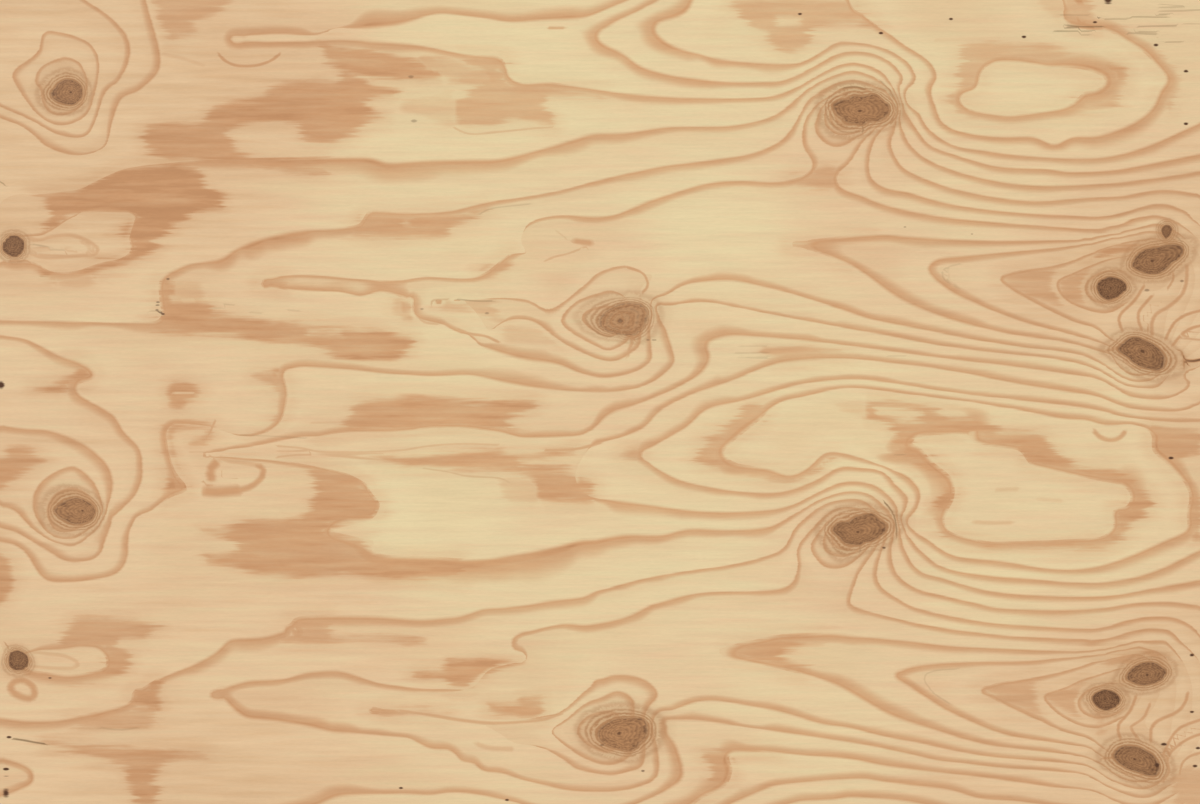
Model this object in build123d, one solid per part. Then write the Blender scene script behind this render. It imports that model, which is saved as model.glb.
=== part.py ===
from build123d import *
import os

# A plywood sheet of seven veneers, each peeled from a pine log, glued together and pressed.
# The grain of each ply is square to that of its neighbours, and the two outside plies are
# sanded after pressing, so they end up thinner than the rest.
# The origin is the centre of the underside. +X runs along the sheet, with the grain of the
# face, +Y runs across it, and +Z goes up through the plies to the face.
# Lengths are in millimetres.

# The sheet as it is trimmed after pressing
sheet_length = 2440.0
sheet_width = 1220.0

# The veneers
pressed_veneer = 2.7   # thickness of a veneer once it is pressed
sanded_off = 0.45      # what the sander takes from each side of the sheet
eased_edge = 0.4       # width of the small bevel that sanding leaves on the outside corners

# The plies, from the underside to the face
PLIES = [
    "back_veneer",
    "crossband_lower",
    "long_ply_lower",
    "core_crossband",
    "long_ply_upper",
    "crossband_upper",
    "face_veneer",
]


def ply(thickness):
    """One veneer, trimmed to the sheet's outline, with its underside at height zero."""
    return extrude(Rectangle(sheet_length, sheet_width), thickness)


def ease_outline(veneer, outer_side):
    """Bevel the outline of the sanded side of an outside ply: Axis.Z picks its upper side."""
    outline = veneer.faces().sort_by(outer_side)[-1].edges()
    return chamfer(outline, eased_edge)


def lay_up():
    """Stack the plies from the underside up, and sand and ease the two outside ones."""
    outside = {PLIES[0]: -Axis.Z, PLIES[-1]: Axis.Z}
    stack = {}
    height = 0.0
    for name in PLIES:
        if name in outside:
            thickness = pressed_veneer - sanded_off
            veneer = ease_outline(ply(thickness), outside[name])
        else:
            thickness = pressed_veneer
            veneer = ply(thickness)
        stack[name] = Pos(0, 0, height) * veneer
        height += thickness
    return stack, height


sheet, sheet_thickness = lay_up()

os.makedirs("parts", exist_ok=True)
for name, veneer in sheet.items():
    veneer.label = name
    export_step(veneer, f"parts/{name}.step")

print(f"sheet {sheet_length:g} x {sheet_width:g} x {sheet_thickness:g} mm in {len(sheet)} plies")
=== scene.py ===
# %% [markdown]
# # A sheet of pine plywood
# The sheet is glued up from seven veneers, and all that the eye notices is the outer one: a thin
# skin of pine, peeled from a turning log like paper from a roll. The knife cuts along the growth
# rings instead of across them, so a ring that is a thin line on a sawn board opens here into wide
# arches, islands and loops. One turn of the log is about 620 mm, so the figure comes twice.
#
# The seven veneers come from the frame. Six of them keep their solids and get a finish. The face
# gets a mesh of its own, because its figure has to be carried by points in the mesh.

# %% Load the frame
import bpy
import math
import numpy as np
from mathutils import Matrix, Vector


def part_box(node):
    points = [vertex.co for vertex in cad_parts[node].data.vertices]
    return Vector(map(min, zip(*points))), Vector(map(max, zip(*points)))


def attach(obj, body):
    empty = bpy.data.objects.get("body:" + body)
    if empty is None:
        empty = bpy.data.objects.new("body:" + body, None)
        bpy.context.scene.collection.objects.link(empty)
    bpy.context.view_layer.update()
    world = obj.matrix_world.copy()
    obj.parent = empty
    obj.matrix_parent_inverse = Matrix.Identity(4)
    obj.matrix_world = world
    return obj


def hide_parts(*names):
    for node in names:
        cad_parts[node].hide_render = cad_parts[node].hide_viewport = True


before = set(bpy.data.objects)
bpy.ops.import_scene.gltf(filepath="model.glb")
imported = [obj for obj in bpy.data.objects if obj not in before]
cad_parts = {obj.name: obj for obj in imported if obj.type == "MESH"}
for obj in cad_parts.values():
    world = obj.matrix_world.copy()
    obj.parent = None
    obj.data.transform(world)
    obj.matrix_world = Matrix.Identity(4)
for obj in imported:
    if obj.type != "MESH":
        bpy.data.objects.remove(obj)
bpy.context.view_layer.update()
FACE_LOW, FACE_HIGH = (np.array(c, float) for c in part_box("face_veneer"))

# %% [markdown]
# ## The scale
# All places on the face are read from the photo, in its pixels, with x to the right and y down.
# The middle of the photo is the middle of the sheet. Working in the photo's own units keeps
# every number easy to check against the picture, and two values turn them into metres.

# %% The photo's frame
PHOTO_WIDTH, PHOTO_HEIGHT = 1200, 804
METRES_PER_PIXEL = 0.0015
MIDDLE = np.array([PHOTO_WIDTH / 2, PHOTO_HEIGHT / 2])


def to_pixels(metres):
    """Places on the sheet, in metres, as places in the photo."""
    return np.asarray(metres)[..., :2] / METRES_PER_PIXEL * (1, -1) + MIDDLE


# %% [markdown]
# ## The growth rings
# Each year a tree lays down pale earlywood and then dark latewood. The latewood ends abruptly,
# when winter comes, so every dark line on the face has one crisp edge and one soft edge. The
# crisp edges are traced here, each as a short list of points, and each gets the number of its
# year, counted outwards. Between the lines the number changes smoothly, which makes the
# whole figure one landscape: the rings are its contour lines, the islands are its hills, and
# the knots are its pits. A landscape beats painted lines, because the pale wood, the soft edges
# and the fibres can all be worked out from it.

# %% The traced rings
# Each entry is the number of the ring and the points of its crisp edge.
# Round the upper hill, from its top down, and past the knot beside it
UPPER_HILL_RINGS = [
    (10, [
        (978, 83), (979, 76), (983, 69), (990, 64), (1000, 61), (1024, 62), (1048, 66), (1066, 66),
        (1088, 69), (1104, 76), (1107, 80), (1103, 87), (1094, 92), (1083, 94), (1078, 100),
        (1068, 107), (1058, 110), (1030, 114), (1012, 116), (995, 115), (970, 110), (959, 101),
        (960, 96), (966, 92), (975, 89), (978, 83),
    ]),
    (9, [
        (849, 0), (853, 10), (863, 15), (873, 23), (892, 36), (907, 47), (925, 58), (935, 70),
        (937, 77), (935, 82), (931, 88), (932, 95), (938, 114), (942, 122), (950, 128), (970, 134),
        (1000, 137), (1033, 137), (1050, 144), (1058, 144), (1073, 137), (1097, 136), (1125, 127),
        (1143, 117), (1154, 106), (1160, 92), (1168, 81), (1166, 75), (1155, 62), (1143, 50),
        (1127, 40), (1108, 30), (1080, 27), (1067, 22), (1063, 15), (1064, 8), (1062, 0),
    ]),
    (8, [
        (693, 0), (690, 8), (680, 16), (660, 22), (656, 26), (656, 32), (668, 43), (690, 52), (715, 58),
        (745, 62), (790, 64), (808, 60), (823, 51), (838, 42), (850, 42), (872, 45), (892, 52),
        (908, 63), (916, 77), (914, 83), (905, 92), (904, 96), (909, 107), (919, 113), (926, 126),
        (940, 138), (958, 147), (985, 151), (1015, 155), (1055, 158), (1100, 158), (1130, 152),
        (1158, 142), (1178, 133), (1200, 123),
    ]),
    (7, [
        (660, 0), (640, 10), (615, 22), (598, 33), (598, 36), (604, 44), (622, 53), (640, 66),
        (665, 74), (695, 79), (730, 82), (770, 82), (785, 80), (805, 71), (835, 55), (845, 52),
        (855, 51), (875, 54), (893, 64), (903, 77), (903, 82), (900, 92), (903, 103), (910, 118),
        (918, 131), (930, 145), (950, 153), (972, 160), (1000, 167), (1045, 169), (1070, 172),
        (1115, 170), (1155, 163), (1200, 154),
    ]),
    (6, [
        (232, 36), (250, 34), (281, 33), (318, 34), (335, 28), (365, 28), (400, 24), (430, 15),
        (450, 14), (489, 19), (512, 22), (547, 20), (583, 18), (600, 12), (612, 7), (630, 0),
    ]),
    (6, [
        (232, 37), (255, 40), (272, 41), (319, 39), (350, 39), (384, 42), (423, 46), (462, 54),
        (500, 58), (506, 67), (510, 78), (524, 84), (549, 83), (586, 88), (620, 93), (655, 96),
        (695, 98), (755, 98), (780, 94), (800, 86), (825, 72), (840, 65), (850, 63), (862, 64),
        (880, 71), (890, 82), (896, 95), (899, 108), (900, 122), (906, 138), (915, 150), (930, 161),
        (955, 171), (985, 179), (1015, 184), (1050, 186), (1100, 184), (1150, 179), (1200, 171),
    ]),
    (5, [
        (325, 158), (370, 158), (388, 163), (425, 161), (470, 160), (500, 159), (535, 151), (575, 139),
        (594, 134), (625, 133), (670, 127), (730, 126), (768, 118), (786, 107), (808, 89), (825, 79),
        (845, 72), (855, 71), (872, 76), (886, 86), (897, 100), (898, 112), (895, 130), (891, 144),
        (896, 158), (905, 169), (925, 179), (955, 189), (1000, 198), (1040, 201), (1085, 198),
        (1120, 196), (1150, 191), (1165, 190), (1180, 191), (1200, 195),
    ]),
    (5, [
        (34, 195), (75, 190), (94, 182), (116, 172), (135, 167), (172, 163), (240, 160), (325, 158),
    ]),
    (4, [
        (0, 320), (80, 322), (130, 323), (158, 322), (163, 316), (161, 298), (161, 282), (166, 275),
        (178, 269), (191, 264), (220, 259), (233, 251), (249, 243), (262, 239), (287, 233), (310, 230),
        (337, 229), (362, 224), (370, 212), (411, 213), (450, 211), (489, 202), (518, 198), (557, 191),
        (600, 180), (640, 171), (665, 166), (705, 161), (750, 154), (780, 141), (797, 121), (806, 103),
        (820, 91), (840, 82), (857, 80), (875, 86), (889, 93), (896, 111), (889, 123), (879, 133),
        (872, 147), (869, 160), (871, 177), (885, 188), (910, 193), (940, 202), (980, 209), (1020, 213),
        (1060, 215), (1100, 217), (1130, 211), (1150, 205), (1170, 205), (1188, 213), (1194, 220),
    ]),
    (3, [
        (527, 225), (538, 219), (561, 215), (594, 217), (615, 215), (635, 207), (658, 198), (705, 184),
        (740, 181), (775, 182), (800, 178), (811, 169), (812, 160), (804, 148), (802, 135), (806, 118),
        (813, 108), (829, 97), (843, 88), (862, 88), (879, 97), (890, 110), (890, 117), (878, 127),
        (863, 142), (850, 162), (839, 172), (836, 178), (843, 189), (862, 196), (885, 205), (920, 213),
        (960, 219), (1020, 224), (1080, 228), (1112, 226), (1138, 217), (1160, 216), (1182, 225),
        (1197, 238),
    ]),
    (3, [
        (527, 225), (521, 238), (524, 247), (520, 253),
    ]),
]
# Close round the upper knot
UPPER_KNOT_RINGS = [
    (2, [
        (822, 105), (816, 120), (815, 130), (823, 142), (835, 147), (848, 144), (860, 136), (866, 132),
    ]),
    (1, [
        (826, 108), (825, 115), (828, 128), (840, 135), (855, 133),
    ]),
    (0, [
        (829, 112), (831, 123), (842, 130), (856, 129),
    ]),
]
# Round the three knots at the upper right
RIGHT_PIT_RINGS = [
    (2, [
        (793, 244), (815, 240), (850, 237), (885, 235), (910, 237), (960, 240), (1010, 241),
        (1080, 240), (1115, 234), (1155, 224),
    ]),
    (2, [
        (793, 245), (815, 251), (845, 262), (868, 276), (888, 291), (906, 302), (932, 313), (960, 322),
        (1010, 334), (1065, 342), (1110, 354),
    ]),
    (1, [
        (1145, 231), (1115, 237), (1070, 246), (1020, 251), (965, 256), (938, 259), (928, 268),
        (933, 277), (950, 291), (975, 303), (1020, 321), (1065, 333), (1100, 343), (1110, 347),
    ]),
    (0, [
        (1155, 238), (1118, 244), (1080, 258), (1055, 266), (1025, 270), (1001, 276), (1000, 280),
        (1012, 290), (1035, 303), (1072, 321), (1095, 328), (1110, 340),
    ]),
    (-1, [
        (1130, 255), (1105, 260), (1075, 272), (1058, 280), (1057, 288), (1070, 303), (1102, 313),
        (1122, 306), (1140, 292),
    ]),
    (-2, [
        (1085, 285), (1085, 290), (1090, 299), (1100, 304), (1110, 303), (1120, 298),
    ]),
]
# Round the upper middle knot, and the long tongues left of it
MIDDLE_KNOT_RINGS = [
    (3, [
        (527, 253), (510, 255), (497, 265), (483, 275), (464, 279), (425, 277), (403, 280), (372, 280),
        (313, 275), (281, 276), (262, 281),
    ]),
    (3, [
        (262, 281), (270, 286), (300, 290), (341, 292), (360, 296), (380, 292), (401, 296), (415, 302),
        (413, 308), (420, 319), (438, 323), (460, 333), (471, 336),
    ]),
    (3, [
        (479, 345), (508, 355), (528, 360), (557, 364), (583, 374), (606, 378), (635, 372), (650, 362),
        (652, 355), (650, 330), (655, 299),
    ]),
    (2, [
        (640, 293), (649, 283), (645, 275), (635, 268), (620, 266), (598, 273), (581, 288), (551, 309),
        (528, 300), (500, 298), (470, 300), (434, 301),
    ]),
    (2, [
        (489, 331), (510, 320), (534, 322), (559, 340), (583, 353), (612, 361), (632, 352), (640, 345),
    ]),
    (1, [
        (606, 291), (577, 301), (561, 320), (575, 335), (606, 351),
    ]),
]
# Below the three knots, over to the lower hill
VALLEY_RINGS = [
    (3, [
        (655, 299), (668, 294), (685, 285), (712, 281), (736, 281), (760, 286), (800, 296), (840, 309),
        (870, 319), (915, 328), (970, 339), (1030, 348), (1070, 353), (1095, 361), (1125, 379),
        (1140, 382),
    ]),
    (4, [
        (284, 372), (300, 367), (341, 369), (382, 373), (430, 376), (470, 375), (505, 382), (547, 389),
        (606, 392), (640, 387), (660, 377), (674, 363), (674, 355), (664, 325), (655, 307), (670, 305),
        (704, 302), (734, 307), (775, 315), (830, 325), (885, 335), (950, 347), (1010, 354),
        (1050, 358), (1085, 365), (1105, 374), (1125, 385), (1155, 388), (1168, 376),
    ]),
    (5, [
        (594, 429), (610, 414), (635, 405), (668, 392), (700, 374), (710, 358), (707, 345), (727, 336),
        (764, 337), (820, 342), (880, 350), (940, 358), (1010, 366), (1060, 373), (1100, 380),
        (1130, 396), (1165, 399), (1189, 388), (1190, 378), (1185, 372),
    ]),
    (6, [
        (594, 444), (625, 436), (645, 427), (660, 411), (690, 395), (728, 382), (768, 366), (795, 361),
        (840, 358), (894, 363), (955, 371), (1020, 384), (1070, 392), (1095, 396), (1130, 408),
        (1175, 412), (1200, 404),
    ]),
    (7, [
        (640, 453), (668, 438), (688, 426), (708, 409), (745, 400), (790, 387), (825, 381), (865, 380),
        (910, 386), (970, 395), (1045, 403), (1097, 410), (1130, 418), (1175, 422), (1200, 422),
    ]),
]
# Round the lower hill
LOWER_HILL_RINGS = [
    (8, [
        (778, 403), (757, 420), (733, 440), (722, 452), (735, 464), (770, 470), (790, 476), (808, 468),
        (826, 453), (850, 455), (882, 466), (908, 477), (920, 493), (917, 508), (908, 524), (928, 540),
        (955, 556), (1000, 561), (1050, 569), (1090, 568), (1125, 558), (1160, 543), (1187, 530),
        (1188, 515), (1191, 495), (1183, 479), (1167, 462), (1154, 450), (1152, 433), (1135, 424),
        (1105, 425), (1088, 420), (1060, 418), (1015, 409), (965, 401), (915, 395), (850, 388),
        (805, 396), (778, 403),
    ]),
    (9, [
        (921, 435), (945, 433), (972, 433), (970, 438), (985, 444), (1020, 450), (1030, 463),
        (1060, 471), (1100, 480), (1122, 484), (1132, 495), (1128, 507), (1114, 511), (1114, 528),
        (1100, 538), (1070, 540), (1020, 542), (985, 542), (949, 532), (944, 515), (952, 500),
        (951, 480), (932, 463), (920, 449), (911, 440), (921, 435),
    ]),
    (7, [
        (640, 453), (653, 466), (680, 480), (715, 488), (745, 492), (780, 492), (812, 482), (838, 468),
        (862, 468), (882, 471), (895, 484), (909, 500), (905, 510), (900, 520), (905, 530), (918, 548),
        (945, 568), (990, 576), (1035, 579), (1070, 582), (1105, 582), (1150, 573), (1200, 550),
    ]),
    (6, [
        (594, 498), (640, 504), (695, 511), (740, 512), (787, 507), (817, 493), (840, 483), (862, 482),
        (880, 489), (893, 500), (897, 508), (900, 525), (903, 545), (918, 570), (945, 579), (990, 591),
        (1050, 596), (1110, 596), (1155, 588), (1200, 580),
    ]),
    (5, [
        (594, 429), (582, 435), (547, 437), (520, 437), (508, 434), (481, 429), (462, 427), (431, 427),
        (399, 431), (341, 432), (320, 436), (300, 437), (268, 443), (229, 449), (210, 452), (203, 454),
        (225, 457), (260, 459), (300, 464), (333, 471), (351, 476), (367, 486), (370, 494), (378, 503),
        (374, 515), (351, 523), (331, 531), (353, 538), (372, 544), (370, 552), (390, 557), (431, 558),
        (462, 560), (489, 559), (512, 555), (546, 549), (579, 541), (594, 540),
    ]),
    (5, [
        (594, 540), (625, 535), (662, 535), (690, 529), (730, 530), (768, 527), (792, 515), (820, 500),
        (845, 492), (868, 494), (885, 507), (895, 523), (892, 545), (892, 560), (898, 575), (915, 588),
        (945, 596), (975, 603),
    ]),
    (5, [
        (975, 603), (1000, 608), (1051, 610), (1101, 608), (1135, 603), (1170, 602), (1200, 606),
    ]),
    (4, [
        (594, 592), (635, 581), (675, 573), (735, 564), (772, 554), (787, 544), (795, 528), (817, 508),
        (840, 500), (862, 500), (880, 515), (887, 532), (882, 550), (877, 570), (878, 581), (883, 589),
        (892, 595), (900, 600),
    ]),
    (4, [
        (594, 592), (583, 597), (549, 601), (528, 605), (501, 608), (485, 609), (462, 616), (446, 618),
        (419, 620), (374, 617), (319, 617), (292, 620), (286, 626), (300, 630), (286, 631), (264, 637),
        (235, 639), (228, 641), (214, 654), (191, 666), (168, 675), (150, 684), (144, 689), (134, 690),
        (134, 698), (126, 705), (100, 712), (67, 719), (50, 721), (25, 721), (0, 718),
    ]),
    (4, [
        (900, 600), (911, 606), (928, 611), (950, 616), (990, 623), (1028, 626), (1081, 629),
        (1101, 628), (1131, 620), (1150, 617), (1170, 617), (1183, 621), (1193, 627), (1198, 633),
    ]),
    (3, [
        (650, 605), (700, 593), (755, 591), (788, 586), (798, 565), (797, 548), (814, 527), (826, 515),
        (840, 508), (862, 510), (878, 522), (881, 536), (875, 550), (860, 572), (853, 590), (850, 600),
    ]),
    (3, [
        (650, 605), (633, 614), (619, 619), (600, 623), (583, 625), (563, 624), (534, 630), (520, 633),
        (513, 638), (511, 644), (514, 649), (526, 654),
    ]),
    (3, [
        (850, 600), (850, 604), (867, 611), (886, 616), (911, 622), (950, 629), (1001, 635),
        (1051, 638), (1085, 639), (1101, 639), (1131, 631), (1149, 628), (1162, 629), (1172, 632),
        (1177, 638),
    ]),
]
# Close round the lower knot
LOWER_KNOT_RINGS = [
    (2, [
        (822, 528), (811, 543), (812, 552), (825, 567), (845, 567), (860, 556), (866, 550),
    ]),
    (1, [
        (823, 545), (827, 553), (845, 557), (855, 553),
    ]),
]
# Round the three knots at the lower right
LOWER_RIGHT_RINGS = [
    (2, [
        (1166, 641), (1150, 641), (1131, 643), (1095, 651), (1051, 651), (1001, 649), (950, 646),
        (906, 641), (850, 636), (828, 634), (781, 636), (762, 640), (738, 645), (727, 649), (723, 654),
        (731, 658), (762, 664), (801, 673), (836, 685), (867, 702), (886, 713), (906, 721), (932, 729),
        (967, 740), (1001, 747), (1051, 752), (1081, 757), (1103, 765), (1110, 771),
    ]),
    (1, [
        (1139, 646), (1120, 649), (1101, 653), (1051, 659), (1028, 661), (971, 662), (932, 664),
        (911, 667), (900, 671), (894, 676), (902, 682), (925, 697), (950, 712), (984, 727), (1016, 737),
        (1066, 744), (1091, 749), (1101, 756),
    ]),
    (0, [
        (1135, 654), (1101, 661), (1066, 671), (1028, 679), (1001, 683), (990, 686), (980, 691),
        (990, 697), (1016, 710), (1047, 724), (1059, 730), (1087, 738), (1095, 743), (1104, 750),
    ]),
    (-1, [
        (1122, 668), (1097, 675), (1081, 680), (1066, 687), (1051, 692), (1043, 696), (1053, 710),
        (1066, 719), (1081, 726), (1095, 728), (1107, 725), (1120, 719), (1129, 712), (1137, 704),
    ]),
    (-2, [
        (1089, 689), (1082, 694), (1078, 701), (1080, 710), (1087, 716), (1101, 719), (1114, 716),
        (1124, 710), (1128, 702),
    ]),
    (3, [
        (657, 714), (670, 711), (692, 703), (703, 701), (719, 701), (750, 706), (781, 712), (818, 723),
        (850, 728), (886, 737), (919, 743), (950, 750), (986, 756), (1028, 760), (1074, 764),
        (1089, 767), (1112, 781), (1137, 789), (1150, 788),
    ]),
    (4, [
        (643, 801), (657, 795), (678, 783), (683, 776), (683, 768), (678, 751), (674, 741), (667, 736),
        (669, 728), (666, 720), (684, 720), (703, 721), (750, 728), (809, 736), (867, 745), (906, 753),
        (936, 760), (971, 764), (1007, 768), (1051, 771), (1085, 775), (1104, 785), (1127, 795),
        (1143, 798), (1156, 795), (1166, 788),
    ]),
    (5, [
        (692, 804), (703, 796), (719, 789), (727, 782), (731, 769), (728, 761), (729, 753), (742, 751),
        (762, 751), (801, 755), (850, 759), (886, 766), (919, 770), (971, 776), (1018, 782),
        (1051, 787), (1091, 791), (1112, 800),
    ]),
    (6, [
        (731, 804), (754, 794), (766, 789), (781, 785), (820, 781), (850, 779), (867, 779), (886, 782),
        (919, 786), (950, 790), (978, 798), (1001, 800),
    ]),
    (7, [
        (801, 801), (836, 799), (850, 797), (886, 799), (906, 801),
    ]),
]
# Round the lower middle knot
LOWER_MIDDLE_RINGS = [
    (3, [
        (526, 661), (490, 670), (471, 688), (442, 689), (415, 688), (399, 686), (378, 683), (351, 674),
        (335, 671), (306, 673), (283, 679), (250, 681), (237, 684), (224, 688), (211, 691),
    ]),
    (3, [
        (211, 691), (222, 698), (229, 704), (237, 712), (247, 718), (275, 721), (306, 726), (333, 732),
        (351, 733), (388, 736), (409, 738), (419, 743), (429, 748), (450, 750),
    ]),
    (3, [
        (463, 762), (473, 763), (483, 771), (501, 773), (520, 779), (536, 783), (567, 790), (600, 792),
        (625, 790), (641, 786), (651, 782), (657, 776), (659, 765), (657, 745),
    ]),
    (2, [
        (656, 700), (657, 692), (653, 686), (645, 680), (633, 676), (621, 675), (610, 676), (600, 680),
        (594, 680), (590, 687), (583, 693), (567, 708), (557, 714), (546, 716), (508, 723), (481, 723),
        (446, 718), (411, 714), (369, 713),
    ]),
    (2, [
        (518, 744), (530, 745), (547, 750), (567, 762), (577, 769), (600, 774), (614, 775), (633, 770),
        (640, 768),
    ]),
    (1, [
        (633, 699), (627, 694), (618, 691), (610, 693), (600, 698), (586, 703), (567, 718), (551, 730),
        (555, 737), (575, 753), (598, 764), (610, 765), (620, 763),
    ]),
    (4, [
        (518, 803), (501, 799), (481, 795), (462, 793), (446, 793), (431, 795), (401, 794), (351, 795),
        (333, 798), (320, 804),
    ]),
]
# Round the knots at the left edge
LEFT_RINGS = [
    (5, [
        (147, 5), (157, 40), (160, 55), (158, 72), (138, 91), (122, 98), (112, 122), (104, 147),
        (75, 155), (46, 146), (25, 128), (0, 118),
    ]),
    (4, [
        (85, 0), (110, 17), (128, 38), (129, 60), (118, 82), (105, 93), (88, 134), (60, 135), (35, 122),
        (0, 107),
    ]),
    (3, [
        (45, 32), (80, 38), (95, 50), (99, 70), (93, 100), (85, 116), (62, 125), (38, 115), (12, 77),
        (18, 67), (38, 52), (45, 32),
    ]),
    (2, [
        (88, 81), (80, 63), (62, 57), (40, 68), (35, 84), (40, 88),
    ]),
    (5, [
        (0, 236), (25, 236), (42, 235), (50, 231), (57, 227), (67, 220), (76, 216), (82, 212),
        (119, 212), (132, 213), (136, 218), (132, 233), (130, 241), (132, 250), (128, 256), (115, 261),
        (100, 264), (80, 271), (67, 273), (50, 272), (31, 262), (0, 262),
    ]),
    (5, [
        (31, 671), (50, 674), (65, 676), (80, 675), (103, 670), (107, 666), (106, 656), (101, 651),
        (96, 648), (80, 647), (65, 649), (40, 650),
    ]),
    (3, [
        (0, 335), (25, 339), (50, 351), (65, 358), (80, 363), (94, 373), (86, 380), (76, 388),
        (80, 396), (100, 407), (115, 417), (124, 432), (139, 448), (142, 462), (142, 478), (134, 497),
        (117, 514), (112, 524), (104, 545), (101, 553), (94, 559), (80, 562), (65, 561), (44, 549),
        (19, 534), (0, 528),
    ]),
    (4, [
        (284, 380), (287, 393), (280, 421), (262, 434), (240, 436), (212, 427), (191, 424), (180, 423),
        (168, 427), (165, 434), (169, 457), (177, 477), (186, 489), (168, 498), (150, 511), (137, 517),
        (129, 534), (127, 558), (115, 574), (82, 581), (65, 582), (46, 580), (32, 563), (25, 552),
        (15, 545), (0, 542),
    ]),
    (2, [
        (0, 426), (25, 429), (50, 431), (80, 442), (103, 460), (111, 473), (113, 484), (109, 503),
        (101, 522), (96, 530), (80, 543), (73, 546), (57, 543), (34, 530), (15, 511), (0, 506),
    ]),
    (1, [
        (34, 494), (46, 478), (65, 468), (76, 467), (92, 480), (100, 496), (103, 513), (96, 524),
        (76, 538), (65, 539), (50, 535), (35, 515), (34, 494),
    ]),
    (3, [
        (0, 758), (10, 760), (19, 763), (27, 767), (33, 773), (34, 778), (32, 783), (23, 788),
        (15, 792), (0, 797),
    ]),
]
RINGS = (UPPER_HILL_RINGS + UPPER_KNOT_RINGS + RIGHT_PIT_RINGS
         + MIDDLE_KNOT_RINGS + VALLEY_RINGS + LOWER_HILL_RINGS
         + LOWER_KNOT_RINGS + LOWER_RIGHT_RINGS + LOWER_MIDDLE_RINGS + LEFT_RINGS)
print(len(RINGS), "traced lines with", sum(len(p) for _, p in RINGS), "points")

# %% [markdown]
# ## Heights between the lines
# Where two lines lie far apart, nothing tells the landscape whether it bulges or sags between
# them. A few spot heights do that, as on a map: inside the hills, down in the knots, and on the
# wide flats. The width of the dark wood along a line also varies from place to place, and
# another list says how wide it is, at the places where it was read from the photo.

# %% Spot heights and line widths
# x, y, ring number
SPOT_HEIGHTS = [
    (1030, 90, 10.4), (1030, 500, 9.5), (100, 240, 5.4), (85, 660, 5.4), (300, 8, 5.5), (250, 20, 5.7),
    (190, 80, 5.5), (400, 8, 5.7), (240, 37, 6), (1000, 470, 9.4), (1080, 505, 9.4), (1000, 520, 9.4),
    (1080, 450, 8.5), (1000, 415, 8.4), (1155, 500, 8.5), (930, 500, 8.5), (880, 430, 8.6),
    (560, 240, 2.7), (560, 262, 2.7), (590, 255, 2.7), (545, 668, 2.7), (550, 690, 2.6), (40, 620, 4.5),
    (15, 605, 4.5), (10, 700, 4.4), (60, 700, 4.4), (-40, 650, 5.3), (-40, 240, 5.3), (130, 620, 4.7),
    (20, 215, 4.8), (60, 770, 3.4), (60, 740, 3.5), (250, 770, 3.5), (200, 730, 3.4), (110, 360, 3.4),
    (180, 360, 3.5), (60, 310, 4.4), (430, 240, 3.6), (350, 340, 3.5), (450, 310, 2.6), (400, 500, 5.4),
    (450, 540, 5.4), (500, 440, 5.45), (440, 458, 5.65), (560, 480, 5.8), (620, 470, 6.3),
    (66, 95, 0.5), (75, 511, -1), (180, 500, 4.4), (230, 475, 4.6), (300, 500, 4.8), (260, 540, 4.8),
    (130, 270, 4.5), (700, 60, 7.5), (760, 30, 8.5), (850, 108, -2.5), (846, 530, -2), (616, 320, -0.5),
    (616, 733, -0.5), (1108, 287, -3), (1105, 699, -3), (1150, 258, -2.5), (1147, 352, -1),
    (1133, 763, -1), (3, 150, 5.5), (-20, 150, 5.5), (240, 400, 3.2), (225, 385, 3.25), (250, 412, 3.3),
    (190, 550, 4.75), (170, 565, 4.7), (212, 548, 4.75), (190, 585, 4.7), (190, 610, 4.6),
    (180, 525, 4.7), (480, 478, 5.75), (460, 480, 5.7), (500, 480, 5.7), (490, 465, 5.8),
    (830, 415, 8.75), (800, 425, 8.7), (850, 403, 8.7), (862, 420, 8.7), (812, 440, 8.6),
    (930, 418, 8.85), (960, 421, 8.85), (904, 418, 8.85), (885, 445, 8.8), (945, 430, 8.93),
    (1118, 448, 8.7), (1100, 445, 8.65), (1130, 440, 8.5), (445, 298, 2.3), (430, 300, 2.4),
    (290, 619, 4.12), (283, 624, 4.06), (301, 628, 3.84), (292, 633, 3.84), (800, 16, 8.85),
    (784, 16, 8.8), (816, 30, 8.8), (832, 16, 8.9), (838, 6, 8.93), (800, 40, 8.75), (800, -12, 8.9),
    (816, 0, 8.9), (784, 0, 8.85), (768, -10, 8.7), (918, 98, 8.55), (908, 98, 8.3), (924, 97, 8.75),
    (60, 66, 1.86), (60, 54, 2.12),
]
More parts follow.
